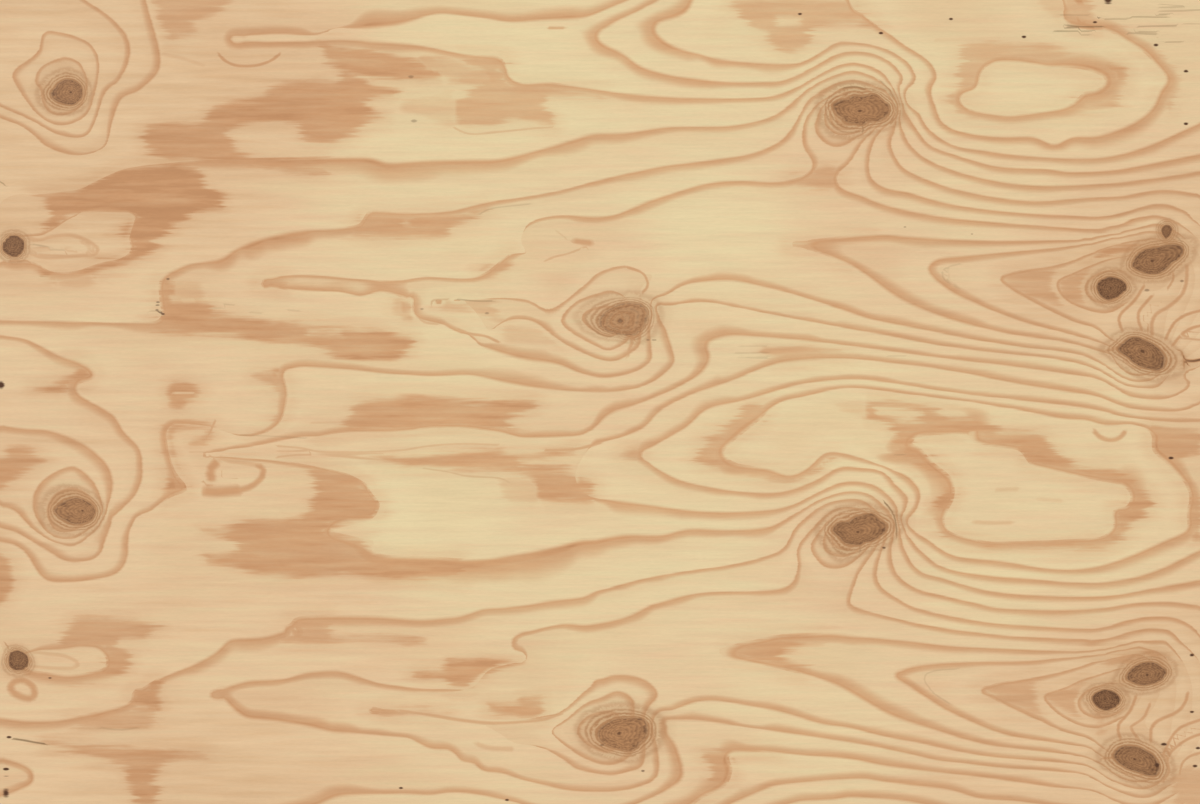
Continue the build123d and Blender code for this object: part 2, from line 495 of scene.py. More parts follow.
# x, y, width of the dark wood in pixels
LINE_WIDTHS = [
    (880, 30, 4), (935, 100, 5), (1040, 140, 6), (1130, 125, 9), (1165, 90, 10), (1150, 50, 11),
    (1110, 30, 10), (1075, 15, 16), (675, 12, 18), (660, 30, 12), (700, 55, 8), (770, 63, 7),
    (850, 43, 4), (900, 70, 3.5), (940, 140, 4), (1180, 135, 6), (600, 35, 11), (640, 66, 8),
    (670, 75, 7), (750, 82, 4.5), (300, 40, 5), (375, 27, 12), (450, 50, 5), (510, 80, 6), (600, 90, 5),
    (750, 98, 4), (500, 163, 10), (575, 145, 11), (600, 138, 9), (700, 127, 5), (100, 320, 3.5),
    (165, 300, 9), (230, 250, 9), (325, 230, 7), (480, 207, 6), (600, 180, 5), (640, 205, 8),
    (700, 185, 6), (760, 182, 5), (850, 238, 7), (900, 298, 9), (960, 321, 8), (1060, 341, 4),
    (930, 268, 8), (1000, 307, 4.5), (530, 355, 11), (583, 371, 5), (730, 281, 7), (850, 310, 7),
    (1000, 345, 4.5), (330, 365, 6), (450, 375, 5), (600, 391, 5), (673, 360, 5), (700, 303, 4),
    (850, 328, 4), (550, 433, 6), (620, 408, 9), (700, 345, 13), (708, 370, 11), (760, 337, 5),
    (900, 352, 4.5), (640, 430, 8), (700, 392, 7), (800, 355, 12), (900, 364, 5), (650, 450, 8),
    (720, 408, 9), (800, 386, 6), (1050, 406, 6), (700, 488, 6), (780, 492, 6), (860, 468, 4),
    (930, 560, 4), (1050, 582, 6), (1150, 575, 7), (740, 430, 13), (730, 460, 12), (770, 475, 8),
    (850, 455, 4), (930, 545, 4), (1050, 572, 6), (1150, 550, 8), (1195, 500, 9), (1160, 455, 14),
    (620, 505, 9), (700, 513, 7), (780, 508, 5), (389, 565, 18), (590, 545, 11), (640, 540, 9),
    (700, 533, 9), (760, 532, 8), (580, 599, 7), (500, 611, 6), (420, 622, 8), (340, 620, 9),
    (250, 645, 10), (200, 664, 8), (170, 677, 5), (60, 724, 8), (100, 718, 13), (640, 614, 9),
    (600, 627, 8), (515, 640, 8), (850, 600, 4), (510, 258, 6), (483, 270, 8), (450, 330, 4),
    (290, 682, 5), (340, 675, 8), (400, 687, 4), (430, 688, 3), (235, 703, 10), (275, 715, 11),
    (320, 724, 11), (350, 730, 8), (400, 735, 4.5), (430, 744, 6), (470, 760, 6), (500, 771, 5.5),
    (560, 787, 5), (640, 785, 4), (330, 790, 10), (400, 792, 5), (840, 640, 10), (900, 643, 6),
    (1000, 650, 4), (800, 668, 8), (850, 687, 10), (900, 715, 10), (960, 735, 6), (897, 676, 9),
    (930, 700, 7), (1000, 733, 5), (720, 701, 5), (780, 711, 7), (850, 727, 5), (750, 728, 3),
    (700, 790, 16), (725, 765, 16), (725, 752, 8), (800, 754, 5), (1000, 779, 5), (760, 790, 7),
    (800, 781, 6), (850, 777, 6), (60, 353, 7), (85, 372, 12), (65, 385, 10), (95, 404, 6),
    (138, 455, 5), (30, 340, 4), (90, 557, 4), (283, 400, 7), (168, 445, 7), (176, 478, 12),
    (125, 550, 6), (40, 570, 6), (80, 580, 5), (70, 434, 8), (105, 465, 6), (20, 427, 5), (65, 467, 4),
    (150, 50, 6), (120, 100, 5), (60, 135, 5), (60, 90, 4), (855, 140, 3.5), (600, 300, 3),
    (600, 345, 3), (1110, 300, 3.5), (1105, 712, 3.5), (1150, 400, 4.5), (1150, 210, 4), (1150, 625, 4),
    (1150, 790, 4), (1190, 380, 4), (10, 205, 0.3), (28, 195, 0.3), (45, 192, 0.3), (62, 190, 0.3),
    (78, 188, 0.3), (-10, 225, 0.3), (0, 218, 0.3), (95, 179, 0.6), (110, 171, 0.8), (125, 167, 1),
    (472, 303, 0.3), (479, 313, 0.3), (486, 323, 0.3), (491, 329, 0.3), (499, 325, 1.5), (500, 299, 1),
    (482, 299, 0.5), (0, 645, 0.3), (318, 31, 0.4), (328, 29, 0.3), (336, 28, 0.3), (1172, 283, 0.3),
    (1160, 290, 0.3), (1147, 291, 0.3), (1183, 275, 0.3), (1180, 292, 0.3), (1170, 305, 0.3),
    (1165, 320, 0.3), (1163, 335, 0.3), (1192, 272, 0.3), (1193, 290, 0.3), (1185, 310, 0.3),
    (1177, 330, 0.3), (1170, 348, 0.3), (1201, 300, 0.3), (1191, 325, 0.3), (1183, 340, 0.3),
    (1172, 360, 0.3), (1196, 336, 0.3), (1185, 352, 0.3), (1201, 347, 0.3), (1178, 372, 0.3),
    (1190, 362, 0.3), (1137, 296, 0.3), (1160, 350, 0.3), (1147, 690, 0.3), (1138, 703, 0.3),
    (1160, 690, 0.3), (1155, 705, 0.3), (1146, 718, 0.3), (1152, 735, 0.3), (1156, 748, 0.3),
    (1150, 762, 0.3), (1174, 710, 0.3), (1171, 730, 0.3), (1167, 748, 0.3), (1160, 762, 0.3),
    (1190, 705, 0.3), (1187, 728, 0.3), (1180, 748, 0.3), (1172, 765, 0.3), (1197, 735, 0.3),
    (1190, 755, 0.3), (1183, 770, 0.3), (1200, 770, 0.3), (320, 41, 5), (335, 41, 5), (350, 41, 5),
    (300, 43, 5), (260, 43, 5), (118, 262, 6), (100, 268, 6), (85, 273, 6.5), (69, 275, 6),
    (52, 272, 5), (40, 267, 4), (524, 232, 0.3), (522, 240, 0.3), (525, 247, 0.3), (530, 252, 0.3),
    (320, 231, 7), (340, 229, 7), (270, 240, 6), (240, 252, 5), (222, 428, 0.3), (230, 431, 0.3),
    (239, 433, 0.3), (250, 434, 2.5), (262, 431, 4), (275, 424, 5), (163, 440, 4), (168, 458, 4),
    (172, 470, 4.5), (150, 508, 4), (135, 520, 3.5), (198, 452, 2), (205, 450, 2.5), (220, 449, 3),
    (240, 447, 3), (260, 444, 3), (280, 441, 3.5), (203, 458, 1.5), (220, 459, 2), (240, 461, 2.5),
    (270, 462, 3), (290, 465, 3.5), (235, 700, 7), (250, 710, 10), (270, 714, 9), (300, 718, 8),
    (300, 722, 10), (330, 725, 8), (360, 730, 4), (400, 735, 3), (530, 654, 0.5), (533, 659, 0.3),
    (530, 665, 0.3), (524, 667, 0.5), (480, 687, 0.3), (487, 679, 0.3), (495, 671, 0.3),
    (508, 668, 0.3), (519, 667, 0.3), (492, 730, 0.3), (500, 735, 0.3), (508, 739, 0.3),
    (516, 743, 0.5), (104, 712, 7), (81, 718, 7), (129, 706, 7), (60, 722, 6), (572, 466, 0.3),
    (571, 476, 0.3), (575, 486, 0.3), (582, 494, 0.3), (588, 498, 1), (600, 500, 4), (646, 273, 0.3),
    (651, 277, 0.3), (645, 281, 0.3), (640, 285, 0.3), (638, 292, 0.3), (639, 298, 0.3), (632, 268, 2),
    (615, 267, 3), (680, 303, 2.2), (704, 301, 2.2), (721, 304, 2.5), (744, 308, 2.5), (765, 313, 2.5),
    (790, 317, 2.5), (830, 326, 3), (664, 297, 3), (682, 285, 4), (700, 279, 6), (721, 277, 8),
    (741, 278, 7), (764, 283, 6), (715, 333, 6), (700, 345, 8), (760, 334, 5), (790, 336, 5),
    (600, 442, 3), (620, 437, 3), (640, 428, 4), (655, 418, 6), (670, 405, 5), (640, 452, 4),
    (660, 444, 4), (680, 432, 6), (700, 415, 6), (720, 404, 5), (650, 463, 4), (675, 480, 6),
    (700, 488, 5), (740, 494, 4), (780, 493, 3.5), (560, 430, 6), (585, 428, 6), (605, 415, 9),
    (620, 407, 8), (640, 400, 5), (660, 392, 5), (690, 384, 4), (610, 390, 3), (640, 389, 2.5),
    (580, 390, 3), (606, 590, 3.5), (640, 582, 3.5), (680, 573, 3), (704, 572, 3), (738, 566, 3.5),
    (766, 558, 3.5), (791, 538, 3), (600, 627, 8), (625, 619, 7), (658, 605, 6), (678, 604, 7),
    (704, 594, 4), (740, 591, 3.5), (771, 588, 5), (793, 584, 6), (798, 566, 3), (761, 640, 12),
    (800, 637, 12), (830, 636, 11), (760, 663, 5), (808, 672, 6), (900, 619, 3), (872, 612, 3),
    (847, 602, 2.5), (854, 582, 3), (865, 566, 3), (30, 80, 5), (70, 57, 3), (45, 66, 3), (85, 70, 2.5),
    (45, 112, 2.5), (70, 124, 2.5), (87, 113, 2.5), (36, 84, 2.5), (275, 279, 4), (300, 277, 3.5),
    (330, 278, 3.5), (360, 280, 3.5), (400, 280, 3), (440, 279, 3), (285, 287, 4), (300, 289, 6),
    (330, 290, 5), (350, 292, 4), (375, 292, 4), (400, 296, 5), (420, 566, 20), (460, 566, 20),
    (500, 564, 19), (530, 560, 19), (560, 556, 19), (590, 549, 16), (620, 542, 12), (345, 164, 12),
    (383, 167, 15), (420, 168, 15), (460, 164, 12), (480, 160, 11), (200, 262, 6), (225, 257, 12),
    (250, 248, 18), (275, 241, 16), (300, 236, 14), (163, 290, 9), (163, 305, 9), (528, 223, 4),
    (540, 218, 3.5), (560, 216, 4), (585, 219, 7), (620, 216, 5), (440, 212, 5), (470, 208, 5),
    (500, 200, 4), (540, 196, 3.5), (580, 187, 3.5), (460, 279, 3), (480, 277, 3.5), (492, 270, 7),
    (505, 260, 7), (515, 254, 3), (430, 322, 5), (450, 328, 3.5), (520, 320, 5), (540, 326, 5),
    (560, 340, 3), (590, 355, 3), (500, 349, 9), (520, 350, 10), (540, 354, 11), (557, 359, 7),
    (575, 367, 6), (600, 374, 5), (538, 305, 3), (570, 296, 3), (597, 275, 3.5), (704, 350, 9),
    (703, 340, 10), (718, 334, 10), (735, 335, 7), (900, 352, 4), (940, 357, 3.5), (730, 379, 5),
    (750, 371, 5), (840, 358, 4), (900, 365, 4), (800, 384, 4), (850, 380, 6), (880, 382, 6),
    (920, 388, 4), (800, 398, 3), (850, 391, 3), (900, 395, 3), (740, 398, 4), (715, 405, 5),
    (20, 720, 8), (50, 721, 8), (140, 702, 7), (150, 684, 7), (175, 674, 5), (200, 660, 7),
    (225, 646, 8), (240, 684, 8), (265, 681, 7), (300, 680, 7), (340, 684, 5), (380, 690, 4),
    (380, 733, 5), (204, 454, 0.3), (212, 456, 0.4), (222, 457, 0.5), (240, 457, 1.2), (262, 459, 2),
    (282, 461, 3.5), (215, 451, 2), (240, 447, 3.5), (262, 443, 6), (280, 440, 5), (62, 362, 8),
    (80, 366, 10), (89, 372, 12), (60, 394, 5), (90, 402, 5), (110, 412, 7), (136, 446, 6),
    (141, 465, 6), (100, 462, 8), (108, 480, 8), (80, 446, 8), (40, 428, 6), (20, 336, 4), (40, 345, 6),
    (522, 229, 0.3), (520, 237, 0.3), (522, 246, 0.3), (526, 253, 0.8), (861, 602, 7), (858, 590, 4),
    (925, 611, 4), (885, 590, 4), (880, 575, 5), (1064, 2, 2), (1064, 14, 2), (1112, 76, 12),
    (1172, 79, 9), (1165, 72, 8), (1150, 54, 7), (1132, 43, 8), (589, 449, 0.3), (584, 455, 0.3),
    (580, 461, 0.3), (576, 469, 0.3), (575, 476, 0.5), (598, 442, 4), (910, 446, 12), (921, 458, 13),
    (934, 471, 11), (944, 484, 12), (949, 498, 10), (514, 638, 6), (519, 648, 6), (512, 628, 6),
    (218, 694, 7), (228, 700, 11), (243, 708, 12), (265, 715, 12), (300, 722, 11), (340, 728, 10),
]

# %% [markdown]
# ## The broad brown patches
# Where the knife runs flat along a ring, it stays in the latewood for a hand's width and leaves
# a brown patch instead of a line. These patches are as much a part of the look as the lines, so
# each has its own outline and its own darkness. Pale islands inside them are outlined the same way.

# %% Outlines of the patches
BROWN_PATCHES = [
    (0.55, [
        (960, 48), (985, 43), (1035, 45), (1050, 47), (1075, 55), (1105, 63), (1120, 65), (1127, 72),
        (1122, 85), (1110, 90), (1118, 97), (1112, 105), (1085, 110), (1060, 113), (1025, 119),
        (980, 119), (965, 114), (950, 101), (953, 93), (962, 88), (957, 70), (960, 60),
    ]),
    (0.6, [
        (735, 0), (740, 10), (750, 28), (765, 35), (785, 53), (800, 50), (808, 42), (810, 30),
        (820, 25), (855, 22), (875, 27), (863, 15), (849, 0),
    ]),
    (0.5, [
        (1062, 0), (1067, 22), (1080, 27), (1108, 30), (1134, 46), (1155, 62), (1168, 81), (1160, 95),
        (1163, 105), (1172, 112), (1177, 85), (1178, 75), (1170, 62), (1155, 50), (1145, 42),
        (1120, 28), (1095, 20), (1086, 0),
    ]),
    (0.85, [
        (319, 42), (321, 55), (325, 63), (349, 73), (382, 79), (411, 81), (441, 79), (445, 73),
        (432, 66), (403, 56), (370, 48), (341, 44),
    ]),
    (0.65, [
        (463, 56), (500, 58), (505, 71), (509, 81), (520, 85), (549, 85), (586, 89), (606, 93),
        (600, 97), (548, 98), (549, 110), (553, 125), (515, 119), (495, 126), (461, 125), (453, 116),
        (455, 100), (474, 85), (480, 77), (474, 69), (461, 62),
    ]),
    (0.8, [
        (144, 140), (147, 131), (155, 126), (170, 123), (196, 123), (206, 118), (212, 108), (224, 104),
        (256, 98), (268, 88), (280, 84), (300, 80), (318, 78), (336, 80), (345, 72), (360, 78),
        (372, 86), (398, 92), (394, 96), (372, 99), (366, 110), (388, 119), (372, 121), (352, 133),
        (338, 140), (322, 142), (304, 137), (298, 125), (284, 123), (256, 122), (236, 127), (229, 134),
        (236, 147), (246, 153), (270, 158), (300, 160), (325, 159), (325, 171), (298, 173), (260, 168),
        (200, 164), (170, 160), (154, 153), (145, 147),
    ]),
    (0.7, [
        (355, 226), (367, 214), (392, 215), (429, 214), (461, 212), (485, 206), (490, 208), (472, 218),
        (450, 226), (447, 234), (415, 236), (392, 238), (369, 236), (345, 233),
    ]),
    (0.9, [
        (34, 195), (75, 190), (94, 182), (116, 172), (135, 167), (159, 165), (172, 163), (200, 170),
        (205, 185), (222, 200), (222, 207), (200, 210), (182, 219), (172, 226), (159, 241), (153, 250),
        (134, 258), (122, 263), (100, 271), (82, 277), (65, 280), (50, 280), (40, 271), (31, 264),
        (31, 262), (50, 271), (75, 271), (100, 263), (128, 255), (131, 245), (129, 235), (120, 229),
        (130, 222), (135, 216), (128, 213), (82, 213), (67, 221), (52, 231), (42, 235), (46, 224),
        (48, 212), (43, 201),
    ]),
    (0.7, [
        (40, 650), (57, 648), (61, 641), (65, 632), (76, 620), (92, 617), (122, 618), (138, 619),
        (159, 626), (151, 630), (145, 639), (119, 640), (119, 647), (130, 653), (128, 664), (115, 674),
        (100, 678), (80, 683), (65, 683), (50, 680), (32, 673), (31, 671), (50, 674), (65, 676),
        (92, 672), (107, 666), (106, 656), (96, 648), (80, 647), (50, 652),
    ]),
    (0.8, [
        (158, 300), (160, 280), (172, 280), (177, 290), (174, 300), (200, 301), (214, 305), (212, 311),
        (235, 315), (262, 320), (290, 323), (320, 326), (350, 329), (380, 331), (400, 336), (414, 339),
        (408, 348), (396, 356), (370, 357), (350, 359), (335, 357), (325, 350), (300, 344), (262, 341),
        (235, 337), (200, 334), (165, 334), (150, 330), (150, 322), (160, 319), (163, 310),
    ]),
    (0.78, [
        (46, 742), (81, 744), (115, 747), (139, 749), (180, 752), (208, 755), (208, 760), (174, 762),
        (160, 769), (153, 776), (159, 787), (152, 806), (136, 806), (134, 791), (126, 784), (130, 773),
        (115, 764), (92, 757), (69, 750),
    ]),
    (0.7, [
        (478, 277), (486, 270), (500, 259), (511, 254), (509, 264), (502, 272), (490, 277),
    ]),
    (0.6, [
        (395, 292), (411, 299), (415, 310), (408, 315), (398, 305),
    ]),
    (0.6, [
        (765, 347), (830, 347), (850, 356), (800, 362), (775, 358),
    ]),
    (0.6, [
        (790, 176), (815, 172), (812, 168), (828, 166), (840, 172), (836, 184), (820, 187), (790, 185),
    ]),
    (0.6, [
        (790, 244), (835, 238), (870, 237), (830, 246), (850, 262), (835, 256), (800, 247),
    ]),
    (0.6, [
        (1000, 280), (1008, 273), (1022, 270), (1045, 268), (1058, 264), (1053, 274), (1052, 285),
        (1056, 295), (1062, 305), (1050, 304), (1036, 299), (1020, 294), (1008, 288),
    ]),
    (0.6, [
        (981, 690), (990, 684), (1002, 681), (1020, 681), (1035, 679), (1033, 690), (1036, 700),
        (1040, 712), (1028, 711), (1010, 706), (996, 700), (986, 694),
    ]),
    (0.7, [
        (768, 407), (745, 402), (737, 412), (722, 428), (705, 440), (697, 455), (704, 465), (727, 470),
        (760, 476), (788, 483), (812, 474), (832, 458), (808, 470), (790, 476), (758, 468), (735, 462),
        (724, 452), (735, 440), (752, 426), (768, 418),
    ]),
    (0.7, [
        (1150, 425), (1160, 425), (1200, 430), (1200, 450), (1185, 455), (1178, 470), (1190, 485),
        (1200, 500), (1200, 540), (1190, 530), (1190, 500), (1183, 479), (1167, 462), (1154, 450),
    ]),
    (0.78, [
        (864, 405), (880, 401), (905, 402), (921, 405), (937, 409), (948, 416), (976, 418), (990, 424),
        (1003, 430), (1018, 430), (1040, 433), (1052, 446), (1067, 459), (1089, 468), (1116, 471),
        (1134, 479), (1148, 496), (1151, 501), (1146, 511), (1136, 521), (1126, 533), (1115, 543),
        (1085, 548), (1040, 548), (980, 545), (948, 539), (936, 518), (936, 518), (942, 500),
        (944, 490), (938, 480), (926, 471), (912, 462), (904, 450), (896, 440), (893, 428), (878, 421),
        (866, 416),
    ]),
    (0.8, [
        (345, 420), (352, 406), (365, 400), (400, 398), (462, 400), (490, 402), (532, 400), (534, 409),
        (512, 418), (512, 428), (530, 434), (481, 429), (431, 427), (399, 431), (351, 432), (320, 436),
        (341, 424),
    ]),
    (0.75, [
        (372, 458), (411, 456), (438, 452), (461, 452), (498, 451), (508, 454), (531, 454), (554, 450),
        (575, 447), (575, 451), (545, 458), (520, 462), (531, 466), (561, 469), (577, 476), (591, 485),
        (592, 500), (565, 501), (538, 498), (535, 481), (508, 472), (461, 469), (438, 468), (408, 466),
        (383, 462),
    ]),
    (0.78, [
        (276, 460), (310, 463), (345, 470), (364, 484), (377, 502), (378, 510), (366, 518), (340, 522),
        (326, 530), (340, 536), (368, 538), (366, 543), (378, 553), (400, 557), (440, 558), (460, 559),
        (460, 577), (440, 580), (400, 579), (350, 575), (325, 577), (275, 577), (240, 569), (206, 561),
        (206, 555), (222, 555), (234, 549), (228, 539), (212, 534), (200, 530), (220, 530), (235, 526),
        (246, 521), (280, 520), (301, 517), (312, 505), (318, 495), (316, 484), (308, 472), (295, 465),
    ]),
    (0.65, [
        (290, 618), (314, 616), (331, 618), (334, 630), (331, 636), (358, 634), (392, 634), (411, 635),
        (422, 641), (410, 643), (392, 641), (358, 640), (323, 644), (292, 642), (275, 640), (300, 632),
    ]),
    (0.85, [
        (415, 672), (441, 670), (450, 662), (475, 660), (496, 660), (525, 662), (508, 667), (489, 675),
        (473, 681), (471, 688), (452, 688), (445, 680), (425, 678),
    ]),
    (0.8, [
        (489, 704), (501, 705), (517, 703), (521, 699), (544, 699), (544, 716), (533, 720), (521, 718),
        (517, 714), (498, 713), (490, 710),
    ]),
    (0.65, [
        (371, 711), (381, 706), (399, 706), (411, 709), (425, 708), (434, 711), (448, 714), (438, 717),
        (411, 716), (392, 717), (378, 715),
    ]),
    (0.8, [
        (3, 455), (8, 449), (17, 447), (30, 449), (38, 456), (45, 463), (36, 468), (27, 472), (14, 479),
        (6, 485), (-6, 490), (-8, 458),
    ]),
    (0.8, [
        (-10, 540), (0, 550), (8, 560), (14, 580), (10, 592), (0, 604), (-10, 606),
    ]),
    (0.6, [
        (152, -6), (157, 10), (162, 26), (170, 42), (180, 38), (198, 33), (190, 24), (204, 16),
        (224, 6), (230, -6),
    ]),
    (0.75, [
        (726, 650), (742, 643), (765, 638), (800, 635), (819, 636), (826, 642), (800, 645), (782, 650),
        (778, 655), (790, 662), (808, 668), (800, 672), (765, 663), (740, 657),
    ]),
    (0.62, [
        (1057, 286), (1061, 279), (1072, 274), (1085, 267), (1092, 262), (1088, 272), (1082, 281),
        (1081, 292), (1083, 302), (1072, 302), (1064, 297), (1059, 292),
    ]),
    (0.6, [
        (1044, 697), (1050, 692), (1062, 690), (1078, 681), (1090, 678), (1083, 688), (1078, 697),
        (1077, 705), (1080, 715), (1070, 712), (1060, 707), (1050, 703),
    ]),
    (0.7, [
        (692, 804), (719, 789), (727, 782), (731, 769), (728, 761), (729, 753), (742, 751), (780, 753),
        (740, 747), (719, 748), (702, 752), (703, 758), (711, 763), (713, 772), (709, 784), (690, 798),
    ]),
    (0.65, [
        (252, 375), (275, 371), (283, 376), (287, 393), (284, 410), (281, 421), (265, 434), (250, 436),
        (262, 431), (275, 421), (278, 408), (278, 398), (270, 386),
    ]),
    (0.7, [
        (165, 426), (180, 421), (212, 426), (213, 434), (203, 442), (191, 442), (203, 438), (207, 430),
        (190, 428), (175, 429), (170, 434), (174, 457), (180, 475), (186, 489), (170, 499), (165, 495),
        (170, 480), (165, 455), (162, 434),
    ]),
    (0.5, [
        (1172, 770), (1200, 765), (1215, 800), (1200, 812), (1178, 806), (1170, 790),
    ]),
    (0.8, [
        (168, 390), (172, 383), (182, 381), (192, 384), (199, 391), (195, 397), (187, 401), (184, 407),
        (178, 410), (170, 405), (168, 398),
    ]),
    (0.35, [
        (402, 102), (425, 96), (455, 92), (455, 125), (430, 121), (408, 112),
    ]),
    (0.5, [
        (436, 56), (474, 66), (478, 78), (450, 82), (440, 68),
    ]),
    (0.4, [
        (58, 274), (85, 272), (92, 282), (76, 287), (60, 285),
    ]),
    (0.45, [
        (436, 298), (460, 298), (502, 299), (492, 304), (500, 315), (512, 319), (500, 323), (470, 311),
        (440, 309),
    ]),
    (0.6, [
        (70, 723), (90, 716), (115, 711), (140, 707), (156, 708), (158, 715), (150, 724), (138, 727),
        (104, 729), (81, 728),
    ]),
    (0.85, [
        (130, 697), (135, 690), (145, 688), (150, 683), (160, 681), (163, 688), (158, 695), (162, 702),
        (158, 709), (140, 705), (132, 704),
    ]),
    (0.35, [
        (500, 480), (515, 477), (536, 484), (538, 503), (515, 505), (503, 498),
    ]),
    (0.6, [
        (620, 455), (631, 449), (641, 448), (640, 461), (631, 461),
    ]),
    (0.55, [
        (420, 57), (450, 60), (475, 66), (500, 72), (497, 90), (470, 86), (445, 78), (425, 71),
    ]),
    (0.45, [
        (172, 282), (200, 282), (201, 298), (176, 299),
    ]),
    (0.8, [
        (254, 376), (265, 373), (280, 370), (279, 378), (272, 382), (262, 379),
    ]),
    (0.85, [
        (167, 470), (175, 477), (184, 483), (187, 489), (180, 494), (168, 497), (163, 500), (168, 488),
    ]),
    (0.65, [
        (394, 298), (408, 295), (414, 303), (409, 312), (418, 318), (410, 321), (400, 317), (396, 309),
    ]),
    (0.75, [
        (258, 282), (268, 279), (285, 279), (290, 284), (286, 290), (275, 289), (265, 286),
    ]),
    (0.75, [
        (1098, 256), (1110, 250), (1122, 244), (1140, 240), (1155, 239), (1166, 243), (1158, 246),
        (1148, 247), (1136, 252), (1128, 254), (1120, 252), (1108, 256),
    ]),
    (0.7, [
        (1100, 664), (1115, 657), (1130, 653), (1150, 653), (1168, 657), (1160, 661), (1150, 658),
        (1138, 660), (1128, 664), (1118, 664), (1108, 668),
    ]),
    (0.5, [
        (1096, 712), (1105, 712), (1104, 732), (1098, 735),
    ]),
    (0.85, [
        (66, 361), (76, 361), (85, 365), (91, 371), (88, 377), (80, 382), (69, 384), (70, 389),
        (56, 393), (44, 391), (33, 389), (50, 384), (58, 381), (69, 378), (76, 373), (74, 367),
    ]),
    (0.4, [
        (396, 297), (412, 299), (408, 308), (414, 316), (404, 319), (394, 312),
    ]),
    (0.3, [
        (506, 329), (540, 331), (556, 341), (558, 346), (530, 344), (508, 340),
    ]),
    (0.33, [
        (224, 456), (246, 455), (275, 459), (278, 463), (250, 464), (232, 461),
    ]),
    (0.35, [
        (836, 404), (867, 403), (866, 415), (845, 413),
    ]),
    (0.85, [
        (1072, -5), (1084, -5), (1087, 14), (1094, 24), (1102, 29), (1085, 29), (1068, 25), (1071, 12),
    ]),
    (0.3, [
        (1038, -3), (1068, -3), (1068, 24), (1057, 20), (1046, 8),
    ]),
    (0.75, [
        (1106, 61), (1118, 64), (1126, 68), (1128, 76), (1126, 84), (1114, 89), (1106, 92), (1096, 98),
        (1082, 104), (1077, 100), (1086, 94), (1100, 88), (1106, 80), (1106, 72), (1098, 66),
    ]),
]
PALE_ISLANDS = [
    [
        (978, 83), (990, 64), (1024, 62), (1066, 66), (1104, 76), (1103, 87), (1083, 94), (1068, 107),
        (1030, 114), (995, 115), (970, 110), (959, 101), (966, 92),
    ],
    [
        (775, 16), (800, 18), (802, 24), (778, 24),
    ],
    [
        (401, 220), (413, 221), (412, 226), (402, 226),
    ],
    [
        (309, 330), (341, 331), (341, 334), (309, 333),
    ],
    [
        (921, 435), (945, 433), (972, 433), (985, 444), (1020, 450), (1030, 463), (1060, 471),
        (1100, 480), (1122, 484), (1132, 495), (1128, 507), (1114, 511), (1114, 528), (1100, 538),
        (1070, 540), (1020, 542), (985, 542), (949, 532), (944, 515), (952, 500), (951, 480),
        (932, 463), (911, 440),
    ],
    [
        (877, 409), (898, 409), (912, 411), (920, 414), (918, 418), (908, 421), (890, 417), (878, 415),
    ],
]
print(len(BROWN_PATCHES), "brown patches and", len(PALE_ISLANDS), "pale islands")

# %% [markdown]
# ## From lines to a landscape
# A thin plate spline bends a sheet through all the given heights with as little bending as it
# can, which is close to how growth layers flow round a knot. Each traced line is first made a
# smooth curve with a point every few pixels, so that the landscape holds its height all along
# it. Solving for a few thousand points takes seconds.

# %% Smooth curves through the traced points
POINT_SPACING = 9.0


def smooth_curve(points, spacing=POINT_SPACING):
    """Points along a smooth curve through the given ones, about as far apart as spacing."""
    given = np.array(points, float)
    if np.allclose(given[0], given[-1]):
        ends = given[-2], given[1]
    else:
        ends = 2 * given[0] - given[1], 2 * given[-1] - given[-2]
    row = np.vstack([ends[0], given, ends[1]])
    curve = []
    for before, start, stop, after in zip(row, row[1:], row[2:], row[3:]):
        steps = max(1, round(float(np.linalg.norm(stop - start)) / spacing))
        t = np.arange(steps)[:, None] / steps
        leave, arrive = (stop - before) / 2, (after - start) / 2
        curve.append((2 * t ** 3 - 3 * t ** 2 + 1) * start + (t ** 3 - 2 * t ** 2 + t) * leave
                     + (3 * t ** 2 - 2 * t ** 3) * stop + (t ** 3 - t ** 2) * arrive)
    return np.vstack(curve + [given[-1:]])


# %% The landscape of the rings
SPLINE_UNIT = 100.0   # pixels; keeps the numbers of the spline small
SPLINE_GIVE = 2e-4    # how far the landscape may miss a traced height
BATCH = 4000          # places worked out at a time, which keeps the memory small
TINY = 1e-9           # keeps a logarithm or a division from zero


def bending(squared):
    """The shape of a thin plate that is pushed up at one point."""
    return 0.5 * squared * np.log(squared + TINY)


def gather_heights():
    """Every place whose ring number is known, and that number."""
    places, heights = [], []
    for ring, points in RINGS:
        curve = smooth_curve(points)
        places.append(curve)
        heights.append(np.full(len(curve), float(ring)))
    spots = np.array(SPOT_HEIGHTS, float)
    places.append(spots[:, :2])
    heights.append(spots[:, 2])
    return np.vstack(places) / SPLINE_UNIT, np.concatenate(heights)


def fit_landscape(places, heights):
    """How hard the plate is pushed at each place, and the slope of the whole."""
    count = len(places)
    squared = ((places[:, None] - places[None]) ** 2).sum(-1)
    system = np.zeros((count + 3, count + 3))
    system[:count, :count] = bending(squared) + SPLINE_GIVE * np.eye(count)
    system[:count, count] = system[count, :count] = 1
    system[:count, count + 1:] = places
    system[count + 1:, :count] = places.T
    return np.linalg.solve(system, np.append(heights, [0, 0, 0]))


def landscape(where, places, pushes):
    """The ring number at each place, in pixels."""
    where = where / SPLINE_UNIT
    count = len(places)
    result = np.empty(len(where))
    for first in range(0, len(where), BATCH):
        part = where[first:first + BATCH]
        squared = ((part[:, None] - places[None]) ** 2).sum(-1)
        result[first:first + BATCH] = (bending(squared) @ pushes[:count]
                                       + pushes[count] + part @ pushes[count + 1:])
    return result


known_places, known_heights = gather_heights()
pushes = fit_landscape(known_places, known_heights)
print("landscape bent through", len(known_places), "heights")

